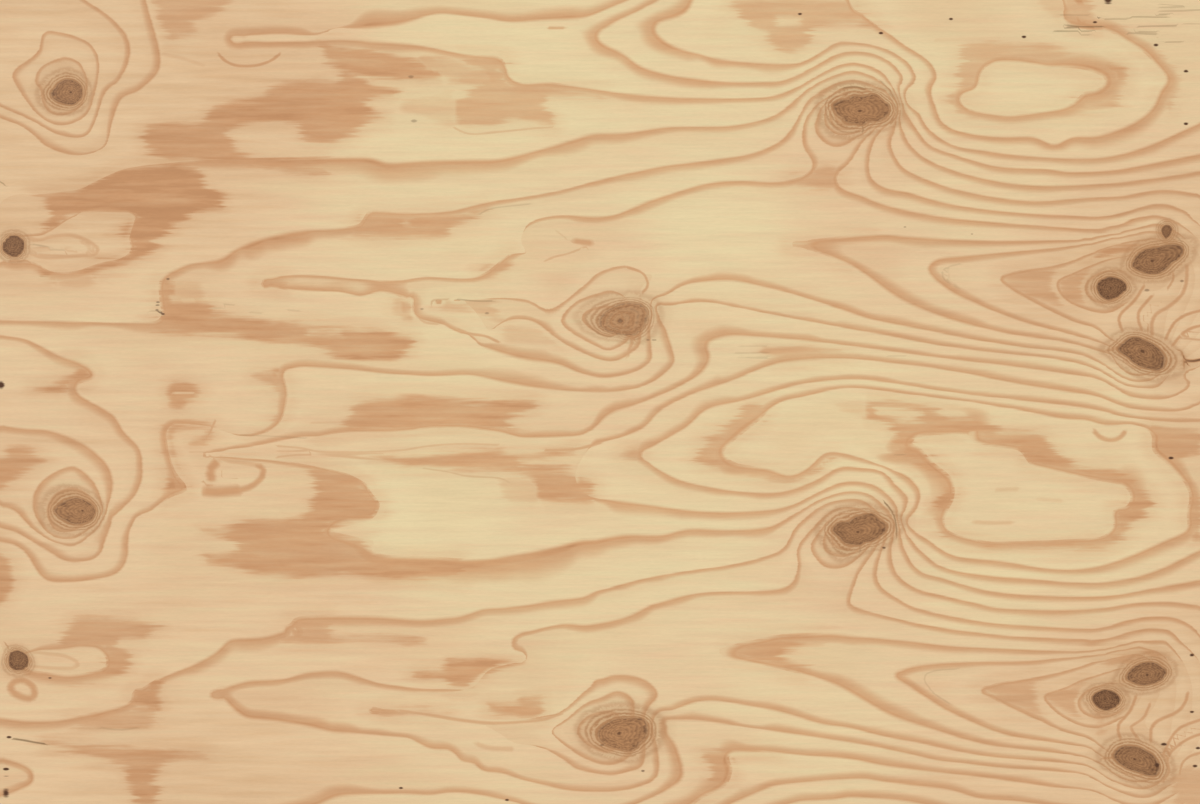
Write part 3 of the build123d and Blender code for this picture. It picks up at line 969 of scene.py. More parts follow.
# %% Values blended between places, and distances to the patches
PATCH_REACH = 25.0    # pixels from a patch's edge that are worth measuring
PATCH_SPACING = 6.0   # pixels between the points of a patch's outline
RAGGED_FROM = 120.0   # pixels of length from which the ends of a patch are fully ragged
WIDTH_REACH = 100.0   # pixels squared, so that a width holds evenly close to where it was read


def blend_marks(where, marks, reach):
    """Values read at a few places, blended over all the places."""
    marks = np.array(marks, float)
    result = np.empty(len(where))
    for first in range(0, len(where), BATCH):
        squared = ((where[first:first + BATCH, None] - marks[None, :, :2]) ** 2).sum(-1)
        weight = 1 / (squared + reach) ** 2
        result[first:first + BATCH] = (weight @ marks[:, 2]) / weight.sum(1)
    return result


def depth_inside(where, outline):
    """How far each place lies inside an outline. Outside it, the distance is negative."""
    curve = smooth_curve(list(outline) + [outline[0]], PATCH_SPACING)
    start, along = curve[:-1], np.diff(curve, axis=0)
    offset = where[:, None] - start[None]
    share = ((offset * along).sum(-1) / np.maximum((along ** 2).sum(-1), TINY)).clip(0, 1)
    distance = np.linalg.norm(offset - share[..., None] * along, axis=-1).min(1)
    below = start[:, 1] > where[:, 1:]
    crosses = below != (curve[1:, 1] > where[:, 1:])
    rise = np.where(along[:, 1] == 0, TINY, along[:, 1])
    left_of = where[:, :1] < start[:, 0] + (where[:, 1:] - start[:, 1]) / rise * along[:, 0]
    inside = (crosses & left_of).sum(1) % 2 == 1
    return np.where(inside, distance, -distance)


def patch_depth(where):
    """How deep each place lies inside the brown patches, how dark they are, and how ragged their
    ends are."""
    depth = np.full(len(where), -PATCH_REACH)
    darkness, ragged = np.ones((2, len(where)))
    for patch_darkness, outline in BROWN_PATCHES + [(None, island) for island in PALE_ISLANDS]:
        low, high = np.min(outline, 0) - PATCH_REACH, np.max(outline, 0) + PATCH_REACH
        near = np.flatnonzero(((where > low) & (where < high)).all(1))
        found = depth_inside(where[near], outline)
        if patch_darkness is None:
            depth[near] = np.minimum(depth[near], -found)
        else:
            deeper = found > depth[near]
            depth[near[deeper]] = found[deeper]
            darkness[near[deeper]] = patch_darkness
            ragged[near[deeper]] = min(1.0, np.ptp(outline, 0)[0] / RAGGED_FROM)
    return depth.clip(-PATCH_REACH, PATCH_REACH), darkness, ragged


# %% [markdown]
# ## The face as a mesh
# The face is a grid of small cells, with finer cells where the photo looks and coarser ones past
# its edges. Each point of the grid remembers its ring number, how fast that number changes, the
# width of the dark wood and its depth in a patch. The finish reads them from there. Sanding
# wears the soft earlywood a little faster than the hard latewood, so the grid also dips
# between the lines by a few hundredths of a millimetre. The outline keeps the eased edge of the
# solid, and a bottom closes the mesh.

# %% Grid lines and figure of the face
FINE_CELL = 3.4       # pixels, inside the photo's view
COARSE_CELL = 9.0     # pixels, past it
EASED_EDGE = 0.0004   # metres, as on the solid
SANDED_DIP = 0.00006  # metres that the earlywood lies below the latewood


def even_steps(start, stop, cell):
    """An even number of equal steps from start to stop, without the last."""
    count = 2 * max(1, math.ceil((stop - start) / cell / 2))
    return np.linspace(start, stop, count, endpoint=False)


low_px = to_pixels((FACE_LOW[0] + EASED_EDGE, FACE_HIGH[1] - EASED_EDGE))
high_px = to_pixels((FACE_HIGH[0] - EASED_EDGE, FACE_LOW[1] + EASED_EDGE))
columns = np.concatenate([even_steps(low_px[0], 0, COARSE_CELL),
                          even_steps(0, PHOTO_WIDTH, FINE_CELL),
                          even_steps(PHOTO_WIDTH, high_px[0], COARSE_CELL), [high_px[0]]])
rows = np.concatenate([even_steps(low_px[1], high_px[1], FINE_CELL), [high_px[1]]])
grid_x, grid_y = np.meshgrid(columns, rows)
print("face grid", len(columns), "x", len(rows))


def between(values, axis):
    """Doubles a grid by smooth halfway values along one axis."""
    values = np.moveaxis(values, axis, 0)
    padded = np.concatenate([2 * values[:1] - values[1:2], values, 2 * values[-1:] - values[-2:-1]])
    halfway = (9 * (padded[1:-2] + padded[2:-1]) - padded[:-3] - padded[3:]) / 16
    doubled = np.empty((2 * len(values) - 1,) + values.shape[1:])
    doubled[::2], doubled[1::2] = values, halfway
    return np.moveaxis(doubled, 0, axis)


every_other = np.stack([grid_x[::2, ::2].ravel(), grid_y[::2, ::2].ravel()], 1)
ring = landscape(every_other, known_places, pushes).reshape(grid_x[::2, ::2].shape)
ring = between(between(ring, 0), 1)
down, across = np.gradient(ring, rows, columns)
slope = np.hypot(down, across)
grid_places = np.stack([grid_x.ravel(), grid_y.ravel()], 1)
width = blend_marks(grid_places, LINE_WIDTHS, WIDTH_REACH).reshape(ring.shape)
patch, patch_darkness, ragged = [values.reshape(ring.shape) for values in patch_depth(grid_places)]
# The ends are most ragged where the edge of a patch runs across the grain
patch_end = ragged * np.abs(np.gradient(patch, rows, columns)[1])
print("ring numbers from", round(float(ring.min()), 1), "to", round(float(ring.max()), 1))

# %% [markdown]
# ## The knots
# A knot is a branch that the stem has grown round, so the knife cuts straight across it. Each
# one has a hard brown heart and round it a collar of its own narrow rings. Both outlines are
# traced here, and the pith, where the branch began, is the point they are measured from. Every
# point of the grid then holds its place inside the nearest knot: the heart ends at 1 and the
# collar at 2, whatever the knot's real shape, so one finish serves them all. Where two knots
# nearly touch, each needs its own set of these places, so there are two sets.

# %% Knots of the face
# pith, darkness, outline of the heart, outline of the collar
KNOTS = [
    ((860, 111), 0.20, [
        (835, 111), (832, 104), (841, 100), (848, 100), (854, 96), (863, 97), (871, 94), (878, 95),
        (882, 101), (888, 104), (890, 111), (885, 117), (878, 121), (867, 121), (863, 125), (855, 123),
        (846, 122), (843, 117), (838, 115),
    ], [
        (824, 111), (826, 100), (834, 92), (846, 87), (863, 87), (876, 90), (888, 96), (895, 103),
        (897, 111), (893, 121), (885, 126), (872, 129), (862, 132), (848, 134), (836, 131), (828, 124),
    ]),
    ((858, 532), 0.32, [
        (832, 528), (841, 522), (849, 523), (854, 518), (860, 516), (871, 513), (875, 515), (880, 521),
        (886, 524), (886, 531), (880, 536), (872, 541), (865, 542), (860, 545), (846, 543), (840, 536),
        (834, 533),
    ], [
        (823, 531), (831, 519), (841, 511), (863, 508), (872, 510), (893, 518), (894, 532), (880, 545),
        (872, 547), (857, 553), (841, 556), (828, 542),
    ]),
    ((620, 321), 0.09, [
        (599, 324), (600, 317), (606, 311), (614, 306), (621, 303), (632, 302), (641, 304), (647, 309),
        (648, 317), (646, 325), (641, 331), (633, 336), (620, 335), (608, 332), (602, 329),
    ], [
        (583, 318), (590, 308), (600, 301), (615, 298), (632, 297), (646, 301), (653, 308), (655, 320),
        (650, 331), (641, 338), (632, 340), (618, 338), (602, 335), (590, 329),
    ]),
    ((619, 733), 0.18, [
        (598, 733), (600, 728), (606, 724), (614, 720), (626, 718), (640, 718), (646, 722), (648, 730),
        (646, 738), (640, 743), (636, 749), (628, 751), (618, 749), (606, 745), (600, 740),
    ], [
        (583, 731), (588, 720), (600, 712), (620, 708), (640, 711), (651, 717), (657, 726), (656, 738),
        (650, 747), (638, 754), (628, 757), (610, 754), (596, 749), (587, 741),
    ]),
    ((1152, 261), 0.41, [
        (1132, 266), (1134, 259), (1138, 254), (1144, 250), (1152, 248), (1160, 247), (1168, 244),
        (1179, 244), (1184, 249), (1182, 256), (1177, 260), (1170, 264), (1165, 270), (1156, 274),
        (1146, 273), (1137, 270),
    ], [
        (1126, 263), (1132, 251), (1145, 243), (1160, 240), (1175, 239), (1187, 244), (1188, 256),
        (1180, 266), (1168, 276), (1152, 279), (1138, 277), (1128, 271),
    ]),
    ((1142, 351), 0.42, [
        (1118, 347), (1124, 342), (1129, 338), (1137, 337), (1146, 341), (1154, 345), (1160, 350),
        (1164, 358), (1164, 366), (1158, 371), (1150, 369), (1140, 366), (1133, 362), (1128, 357),
        (1120, 352),
    ], [
        (1106, 350), (1116, 340), (1126, 333), (1138, 332), (1150, 335), (1162, 341), (1173, 350),
        (1179, 360), (1174, 370), (1163, 375), (1150, 376), (1138, 373), (1128, 366), (1116, 358),
    ]),
    ((1147, 675), 0.41, [
        (1126, 678), (1129, 671), (1135, 666), (1142, 663), (1150, 662), (1157, 664), (1163, 668),
        (1167, 671), (1165, 676), (1160, 681), (1151, 684), (1141, 685), (1132, 682),
    ], [
        (1118, 680), (1124, 668), (1134, 660), (1148, 656), (1160, 657), (1169, 664), (1172, 672),
        (1167, 682), (1157, 688), (1144, 691), (1130, 689), (1121, 685),
    ]),
    ((1135, 759), 0.39, [
        (1113, 755), (1119, 748), (1127, 746), (1137, 747), (1146, 751), (1153, 755), (1158, 762),
        (1159, 770), (1156, 776), (1147, 775), (1137, 771), (1127, 768), (1118, 762),
    ], [
        (1103, 758), (1110, 745), (1120, 739), (1134, 738), (1148, 743), (1160, 751), (1167, 762),
        (1167, 774), (1158, 783), (1145, 783), (1130, 778), (1118, 772), (1108, 766),
    ]),
    ((71, 92), 0.30, [
        (51, 92), (55, 88), (59, 83), (65, 80), (72, 80), (78, 83), (82, 88), (82, 95), (79, 101),
        (73, 105), (65, 104), (57, 101), (52, 97),
    ], [
        (42, 93), (47, 83), (57, 75), (68, 72), (80, 77), (87, 86), (87, 98), (80, 107), (68, 111),
        (54, 109), (45, 102),
    ]),
    ((83, 511), 0.21, [
        (54, 510), (57, 505), (64, 501), (70, 499), (78, 498), (86, 501), (93, 506), (95, 512),
        (93, 518), (88, 522), (80, 524), (70, 523), (62, 518), (56, 514),
    ], [
        (47, 512), (50, 501), (58, 492), (70, 489), (84, 492), (95, 499), (101, 509), (99, 520),
        (92, 528), (78, 531), (62, 530), (50, 523),
    ]),
    ((15, 245), 0.57, [
        (2, 246), (5, 240), (10, 236), (17, 236), (23, 240), (24, 246), (22, 253), (16, 257), (8, 255),
        (3, 251),
    ], [
        (-1, 246), (3, 238), (9, 233), (18, 233), (26, 238), (27, 246), (25, 255), (17, 260), (7, 258),
        (1, 253),
    ]),
    ((20, 658), 0.57, [
        (8, 659), (10, 653), (16, 650), (22, 652), (27, 656), (29, 661), (27, 667), (22, 670),
        (15, 670), (9, 666),
    ], [
        (5, 659), (8, 651), (15, 647), (23, 649), (29, 654), (32, 661), (30, 669), (23, 673), (14, 673),
        (7, 668),
    ]),
]
CLOSE_KNOTS = [
    ((1111, 288), 0.63, [
        (1097, 288), (1099, 281), (1105, 278), (1112, 277), (1120, 279), (1125, 283), (1127, 288),
        (1122, 293), (1116, 298), (1108, 300), (1101, 296),
    ], [
        (1090, 288), (1094, 279), (1103, 272), (1113, 271), (1122, 275), (1129, 282), (1132, 290),
        (1124, 298), (1113, 304), (1102, 303), (1094, 297),
    ]),
    ((1105, 699), 0.66, [
        (1092, 698), (1096, 693), (1103, 690), (1112, 691), (1118, 695), (1121, 699), (1118, 705),
        (1112, 709), (1104, 710), (1096, 706),
    ], [
        (1086, 698), (1090, 690), (1099, 686), (1113, 686), (1121, 691), (1126, 700), (1121, 709),
        (1111, 714), (1098, 713), (1090, 706),
    ]),
    ((1166, 231), 0.55, [
        (1162, 232), (1163, 227), (1168, 225), (1172, 229), (1170, 234), (1166, 239),
    ], [
        (1158, 232), (1160, 224), (1169, 221), (1176, 228), (1174, 237), (1166, 242),
    ]),
]
KNOT_SPACING = 2.0    # pixels between the points of a knot's outline
KNOT_REACH = 3.0      # where a knot's finish has faded out, on the scale of hearts and collars
KNOT_FADE = 0.5       # over how much of that scale it fades
KNOT_PARTING = 0.4    # between two knots it fades where they are nearly as close as this


def radius_towards(angle, pith, outline):
    """How far an outline lies from the pith, in each direction."""
    curve = smooth_curve(list(outline) + [outline[0]], KNOT_SPACING)[:-1] - pith
    around = np.arctan2(curve[:, 1], curve[:, 0])
    order = np.argsort(around)
    return np.interp(angle, around[order], np.hypot(*curve[order].T), period=2 * math.pi)


def knot_places(where, knots):
    """Each place as seen from its nearest knot, and the darkness of that knot."""
    nearest = np.full(len(where), np.inf)
    runner_up = np.full(len(where), np.inf)
    result = np.zeros((len(where), 3))
    for pith, darkness, heart_outline, collar_outline in knots:
        offset = where - pith
        distance = np.hypot(*offset.T)
        angle = np.arctan2(offset[:, 1], offset[:, 0])
        heart = radius_towards(angle, pith, heart_outline)
        collar = radius_towards(angle, pith, collar_outline)
        away = np.where(distance < heart, distance / heart,
                        np.where(distance < collar, 1 + (distance - heart) / (collar - heart),
                                 1 + distance / collar))
        closer = away < nearest
        runner_up = np.where(closer, nearest, np.minimum(runner_up, away))
        nearest = np.where(closer, away, nearest)
        seen = np.stack([away * np.cos(angle), away * np.sin(angle), np.full(len(where), darkness)], 1)
        result[closer] = seen[closer]
    faded = ((KNOT_REACH - nearest) / KNOT_FADE).clip(0, 1)
    parted = ((runner_up - nearest) / KNOT_PARTING).clip(0, 1)
    result[:, 2] *= faded * parted
    return result


knot_sets = [knot_places(grid_places, knots) for knots in (KNOTS, CLOSE_KNOTS)]
print(len(KNOTS) + len(CLOSE_KNOTS), "knots")

# %% [markdown]
# ## Fine lines, cracks and pins
# Some marks belong to no growth ring: fine loops beside the small knots, cracks, torn grain and
# streaks. They are drawn as strokes, each with a width and a strength, and each grid point
# holds its distance to the nearest stroke, counted positive on one side and negative on the
# other. A thin line stays thin that way, even where it falls between two points of the grid.
# Pins and small dark specks are held as the knots are, by the place seen from their middle.

# %% Strokes
# width in pixels, strength (below zero for a pale one), points
STROKES = [
    (5.0, 0.50, [(29, 238), (40, 240), (50, 237), (65, 235), (76, 236), (86, 240), (94, 245), (98, 250),
                 (96, 255), (80, 256), (67, 257), (50, 258), (40, 257), (31, 254)]),
    (5.0, 0.20, [(30, 249), (50, 249), (70, 248)]),
    (5.0, 0.30, [(82, 242), (90, 247), (88, 253)]),
    (5.0, 0.42, [(32, 652), (50, 654), (65, 656), (76, 661), (79, 664), (73, 668), (57, 668), (40, 667),
                 (32, 666)]),
    (3.0, 0.75, [(10, 261), (20, 261), (28, 261), (32, 266)]),
    (12.0, 0.85, [(217, 462), (210, 470), (212, 480)]),
    (13.0, 0.85, [(204, 491), (216, 492), (230, 491), (240, 490)]),
    (8.0, 0.80, [(240, 490), (250, 487), (258, 481), (263, 475), (263, 468), (258, 465)]),
    (6.5, 0.50, [(258, 465), (245, 463), (230, 461), (220, 458)]),
    (2.5, 0.30, [(183, 442), (200, 443)]),
    (3.0, 0.30, [(190, 452), (205, 452)]),
    (3.5, 0.65, [(215, 421), (211, 430), (206, 438), (198, 443)]),
    (9.0, 0.80, [(10, 688), (14, 682), (22, 680), (29, 683), (35, 690), (32, 698), (22, 697),
                 (12, 692), (10, 688)]),
    (3.0, 0.45, [(277, 446), (300, 448), (323, 452), (369, 452), (404, 450), (429, 446), (461, 444),
                 (498, 445)]),
    (3.0, 0.50, [(277, 457), (300, 455), (335, 456), (362, 458), (383, 460)]),
    (2.5, 0.55, [(424, 468), (448, 472), (466, 476), (498, 478), (510, 483)]),
    (4.0, 0.70, [(545, 450), (560, 450), (575, 449), (590, 446), (602, 442)]),
    (4.5, 0.65, [(400, 711), (430, 715), (460, 720), (490, 723), (520, 722), (545, 719), (562, 713)]),
    (2.3, 1.50, [(14, 739), (28, 741), (46, 744)]),
    (2.0, 0.35, [(240, 435), (270, 436), (306, 438)]),
    (4.0, 0.80, [(218, 54), (224, 60), (234, 65), (246, 66), (258, 65), (270, 61), (280, 54)]),
    (8.0, 0.75, [(574, 241), (582, 242), (592, 243)]),
    (2.5, 0.35, [(556, 231), (562, 235), (567, 240)]),
    (3.0, 0.50, [(545, 261), (555, 257), (567, 254), (580, 249)]),
    (6.0, 0.75, [(1094, 431), (1100, 437), (1110, 440), (1119, 438), (1125, 432)]),
    (3.5, 0.75, [(626, 267), (641, 272), (647, 280), (647, 288), (643, 292)]),
    (5.0, 0.65, [(630, 334), (632, 341), (630, 349), (627, 356)]),
    (2.5, 0.25, [(948, 268), (950, 280), (958, 286), (966, 291)]),
    (3.0, 0.45, [(453, 127), (463, 132), (474, 134), (499, 132), (528, 129), (553, 127)]),
    (6.0, 0.40, [(476, 744), (490, 748), (512, 749)]),
    (3.0, 0.30, [(310, 423), (345, 422)]),
    (3.0, 0.30, [(343, 235), (400, 236), (450, 235)]),
    (6.0, 0.28, [(997, 490), (1018, 489)]),
    (5.0, 0.22, [(1038, 499), (1062, 501)]),
    (5.0, 0.40, [(974, 522), (990, 523), (1012, 523)]),
    (6.0, 0.20, [(935, 40), (1000, 38)]),
    (4.0, 0.80, [(1136, 696), (1132, 707), (1126, 716), (1119, 724), (1118, 731), (1121, 739)]),
    (4.0, 0.70, [(1150, 704), (1145, 716), (1138, 722), (1131, 727), (1134, 733), (1138, 739)]),
    (4.5, 0.75, [(1188, 693), (1184, 705), (1177, 712), (1166, 717), (1156, 722), (1151, 729), (1151, 742)]),
    (4.0, 0.75, [(1204, 719), (1191, 723), (1180, 728), (1173, 735), (1168, 744), (1163, 755)]),
    (4.0, 0.75, [(1204, 733), (1190, 738), (1179, 745), (1171, 752), (1167, 761), (1169, 771), (1163, 781)]),
    (3.5, 0.70, [(1204, 752), (1190, 756), (1182, 764), (1180, 775)]),
    (4.0, 0.80, [(1144, 286), (1137, 297), (1129, 306), (1121, 314), (1119, 321), (1122, 330)]),
    (4.0, 0.75, [(1152, 296), (1145, 304), (1139, 311), (1138, 319), (1142, 330)]),
    (5.0, 0.70, [(1187, 266), (1186, 284), (1180, 297), (1168, 307), (1156, 314), (1152, 323), (1152, 335)]),
    (3.0, 0.70, [(1173, 272), (1173, 280), (1168, 288)]),
    (4.0, 0.80, [(1204, 310), (1191, 313), (1180, 318), (1172, 326), (1166, 339)]),
    (4.0, 0.80, [(1204, 325), (1192, 328), (1182, 334), (1173, 345)]),
    (4.0, 0.60, [(1116, 347), (1110, 350), (1104, 351)]),
    (2.5, 1.20, [(1181, 351), (1184, 358), (1184, 367)]),
    (4.0, 1.20, [(1184, 360), (1192, 361), (1204, 359)]),
    (3.0, 0.60, [(1184, 338), (1192, 339), (1204, 340)]),
    (2.0, 0.90, [(1175, 235), (1181, 241), (1184, 248)]),
    (2.5, 1.20, [(889, 94), (894, 98), (897, 104), (898, 112), (895, 119), (891, 123)]),
    (2.0, 0.60, [(880, 80), (888, 88), (892, 94)]),
    (2.2, 1.50, [(884, 502), (889, 507), (894, 516), (896, 524), (897, 536)]),
    (2.2, 1.70, [(843, 88), (850, 87), (857, 87), (865, 89)]),
    (2.2, 1.50, [(862, 120), (863, 131)]),
    (3.0, 1.30, [(872, 513), (877, 518), (882, 524)]),
    (2.0, 0.90, [(860, 543), (860, 552)]),
    (3.5, 0.95, [(626, 335), (634, 338), (641, 333)]),
    (2.0, 0.70, [(591, 328), (600, 334), (612, 337)]),
    (2.2, 1.20, [(1066, 25), (1082, 27), (1103, 27)]),
    (2.0, 0.90, [(1055, 31), (1078, 31)]),
    (2.0, 0.50, [(1060, 35), (1090, 35)]),
    (2.0, 0.70, [(1104, 19), (1128, 19)]),
    (2.0, 0.60, [(1160, 11), (1204, 10)]),
    (2.0, 0.50, [(1185, 21), (1204, 21)]),
    (1.6, 0.70, [(1165, 42), (1182, 42)]),
    (2.0, 0.80, [(1132, 17), (1150, 17), (1168, 17)]),
    (2.3, 0.75, [(1138, 27), (1176, 26)]),
    (1.6, 0.50, [(1060, 15), (1088, 15)]),
    (2.2, 0.70, [(1128, 33), (1156, 34)]),
    (1.4, 0.50, [(1160, 4), (1184, 6)]),
    (1.4, 0.50, [(1184, 24), (1204, 24)]),
    (5.0, 0.25, [(163, 54), (185, 59), (205, 66)]),
    (2.0, 0.60, [(32, 244), (45, 246), (59, 249)]),
    (2.0, 0.45, [(38, 252), (52, 250), (64, 250)]),
    (2.2, 0.80, [(458, 299), (475, 301), (493, 301)]),
    (2.5, 0.60, [(431, 305), (432, 300), (448, 299)]),
    (3.5, 0.70, [(457, 329), (471, 334), (485, 336), (499, 342)]),
    (3.5, 0.50, [(416, 314), (424, 322), (438, 324)]),
    (2.0, 0.90, [(0, 182), (5, 185)]),
    (2.5, 0.70, [(40, 276), (47, 276)]),
    (2.5, 1.00, [(5, 643), (9, 648)]),
    (3.5, 0.70, [(549, 28), (564, 28)]),
    (3.0, -0.7, [(174, 393), (193, 393)]),
    (2.0, 0.40, [(150, 311), (160, 311)]),
    (2.0, 0.40, [(222, 304), (234, 305)]),
    (2.0, 0.30, [(212, 308), (222, 308)]),
    (2.0, 0.30, [(250, 312), (262, 313)]),
    (2.0, 0.30, [(288, 310), (300, 311)]),
    (2.0, 0.35, [(736, 353), (768, 353)]),
    (2.0, 0.35, [(736, 357), (768, 358)]),
    (2.0, 0.30, [(740, 346), (766, 346)]),
    (1.8, 0.30, [(888, 356), (906, 356)]),
    (3.0, 0.95, [(1107, 351), (1115, 349), (1122, 347)]),
    (3.0, 0.90, [(1103, 758), (1110, 758), (1118, 756)]),
    (2.0, 0.40, [(480, 214), (490, 209), (510, 206), (530, 204)]),
    (2.0, 0.35, [(100, 728), (120, 730), (138, 728)]),
    (2.0, 0.35, [(958, 669), (935, 671), (925, 676), (926, 684), (935, 694), (950, 704)]),
    (2.0, 0.35, [(960, 264), (948, 267), (942, 273), (946, 281), (960, 289)]),
    (2.0, 0.50, [(896, 455), (904, 455)]),
]
STROKE_SPACING = 4.0  # pixels between the points of a stroke
STROKE_REACH = 12.0   # pixels from a stroke that are worth measuring
STROKE_SPREAD = 0.65  # how far a stroke reaches to each side, as a share of its width
STROKE_MARGIN = 3.0   # pixels past its edge or its end where a stroke still counts
MEETING_GAP = 4.0     # pixels: two strokes meet where their distances differ by less


def stroke_places(where):
    """Distance to the nearest stroke, with a sign for the side, its strength and its width."""
    result = np.zeros((len(where), 3))
    result[:, 0], result[:, 2] = STROKE_REACH, 1
    nearest = np.full(len(where), STROKE_REACH)
    for width, strength, points in STROKES:
        curve = smooth_curve(points, STROKE_SPACING)
        near = ((where > curve.min(0) - STROKE_REACH) & (where < curve.max(0) + STROKE_REACH)).all(1)
        near = np.flatnonzero(near)
        start, along = curve[:-1], np.diff(curve, axis=0)
        offset = where[near][:, None] - start[None]
        length = np.linalg.norm(along, axis=1)
        share = (offset * along).sum(-1) / length ** 2
        gap = np.linalg.norm(offset - share.clip(0, 1)[..., None] * along, axis=-1)
        best = gap.argmin(1)
        row = np.arange(len(near))
        side = np.sign(along[best, 0] * offset[row, best, 1] - along[best, 1] * offset[row, best, 0])
        past = np.maximum(-share[row, best], share[row, best] - 1).clip(0) * length[best]
        distance = gap[row, best]
        meet = (np.abs(distance - nearest[near]) < MEETING_GAP) & (distance < STROKE_REACH)
        if (side * np.sign(result[near, 0]))[meet].sum() < 0:
            side = -side
        closer = distance < nearest[near]
        kept = near[closer]
        nearest[kept] = distance[closer]
        beside = (STROKE_SPREAD * width + STROKE_MARGIN - nearest[kept]).clip(0, 1)
        fade = beside * (1 - past[closer] / STROKE_MARGIN).clip(0, 1)
        result[kept] = np.stack([(side * distance)[closer], strength * fade,
                                 np.full(len(kept), width)], 1)
    return result


strokes = stroke_places(grid_places)

# %% Pins and specks
# x, y, radius in pixels, darkness
SPECKS = [
    (414, 121, 2.4, 0.4), (411, 77, 2.4, 0.4), (800, 14, 2, 1), (881, 33, 2, 1), (951, 19, 2, 1),
    (1024, 37, 2, 1), (1095, 22, 2, 1), (1156, 45, 2, 1), (1186, 71, 2, 1), (1186, 124, 2, 1),
    (1192, 655, 2, 1), (1192, 712, 2, 1), (1164, 744, 2.6, 1), (1157, 766, 3, 1), (1198, 748, 2, 1),
    (1195, 766, 2, 1), (1171, 458, 2.4, 1), (401, 788, 1.8, 1), (507, 800, 1.8, 1),
    (643, 771, 1.6, 0.7), (9, 737, 2, 1), (6, 769, 2.2, 1), (50, 678, 1.6, 0.8), (1108, 0, 5, 1),
    (158, 302, 1.5, 0.6), (157, 310, 1.5, 0.6), (163, 314, 1.8, 0.8), (168, 279, 1.5, 0.6),
    (1, 385, 4, 1), (6, 793, 4.2, 1), (905, 227, 1.2, 0.4), (972, 234, 1.2, 0.4), (884, 548, 2, 0.8),
    (602, 745, 2, 0.5), (634, 746, 2, 0.5), (640, 719, 2, 0.4), (422, 309, 2, 0.4), (487, 313, 2, 0.4),
    (1182, 281, 2, 0.6), (1147, 290, 2, 0.5), (648, 340, 1.3, 0.4), (655, 340, 1.2, 0.4),
]
SPECK_REACH = 5.0     # radii from its middle where a speck has faded out
SPECK_FADE = 2.0      # over how many radii it fades
SMALL_PIN = 3.0       # pixels: pins of a smaller radius are drawn out along the grain
PIN_STRETCH = 1.35    # by how much they are drawn out


def speck_places(where):
    """Each place as seen from its nearest speck, and that speck's darkness where it is near."""
    result = np.zeros((len(where), 3))
    nearest = np.full(len(where), np.inf)
    for x, y, radius, darkness in SPECKS:
        stretch = PIN_STRETCH if radius < SMALL_PIN else 1.0
        offset = (where - (x, y)) / (radius * stretch, radius / stretch)
        away = np.hypot(*offset.T)
        closer = away < nearest
        nearest[closer] = away[closer]
        shown = darkness * ((SPECK_REACH - away) / SPECK_FADE).clip(0, 1)
        result[closer] = np.column_stack([offset, shown])[closer]
    return result


specks = speck_places(grid_places)
print(len(STROKES), "strokes and", len(SPECKS), "specks")

# %% [markdown]
# The pale wood isn't one colour. It is yellow between the rings in the middle of the sheet and
# tan round the knots and to the left. A number at a few places says which, and it is blended
# between them, because the change is too slow to need an outline.

# %% Tone of the pale wood
# x, y, tone: 0 is pale yellow, 1 is tan and 2 is the brown shade near the knots
TONES = [
    (560, 40, 0.10), (700, 230, 0.0), (420, 520, 0.15), (1000, 480, 0.35), (100, 300, 0.85),
    (20, 600, 1.0), (200, 70, 1.15), (600, 650, 0.3), (800, 690, 0.35), (1150, 10, 0.5),
    (200, 780, 1.2), (900, 260, 0.7), (60, 40, 1.05), (450, 250, 0.4), (250, 650, 0.9), (300, 480, 0.7),
    (900, 30, 0.25), (1030, 90, 0.25), (60, 450, 0.9), (1000, 590, 0.3), (700, 500, 0.2),
    (500, 780, 0.6), (100, 180, 1.15), (20, 120, 1.1), (1110, 262, 1.3), (1135, 245, 1.25),
    (1185, 262, 1.2), (1150, 305, 1.3), (1185, 330, 1.2), (1070, 268, 1.2), (1112, 675, 1.2),
    (1130, 664, 1.2), (1182, 690, 1.15), (1150, 730, 1.1), (1185, 745, 1.1), (1060, 690, 1.0),
    (1100, 400, 0.5), (1100, 580, 0.5), (1000, 190, 0.5), (860, 140, 0.9), (860, 70, 0.3),
    (770, 40, 0.0), (860, 440, 0.1), (330, 590, 0.9), (250, 540, 0.8), (856, 560, 0.9), (620, 345, 0.8),
    (620, 760, 1.0), (620, 280, 0.7), (620, 690, 0.7),
]
TONE_REACH = 1500.0   # pixels squared, so that the tone changes slowly

tone = blend_marks(grid_places, TONES, TONE_REACH).reshape(ring.shape)
print("tone from", round(float(tone.min()), 2), "to", round(float(tone.max()), 2))

# %% [markdown]
# Now the mesh itself. The sander leaves the hard wood a little proud of the soft, so the height
# of each point follows from how far it lies in a line, a patch or a heart. Two more rings of
# points make the eased edge and the side, and a fan closes the bottom.

# %% Points and faces of the face
LINE_SHARE = 0.36     # most of a ring's width that the dark wood may take
LEVEL = 1e-4          # rings per pixel: below it the landscape counts as level
FLATTEST = 0.004      # rings per pixel: slopes below it count as this where a depth is worked out
THINNEST = 0.2        # pixels: thinner lines count as this wide
PATCH_RISE = 4.0      # pixels over which the relief rises at the edge of a patch
HEART_RIM = 1.15      # where the rise round a heart begins, on the knot's own scale
HEART_RISE = 0.2      # over how much of that scale it rises

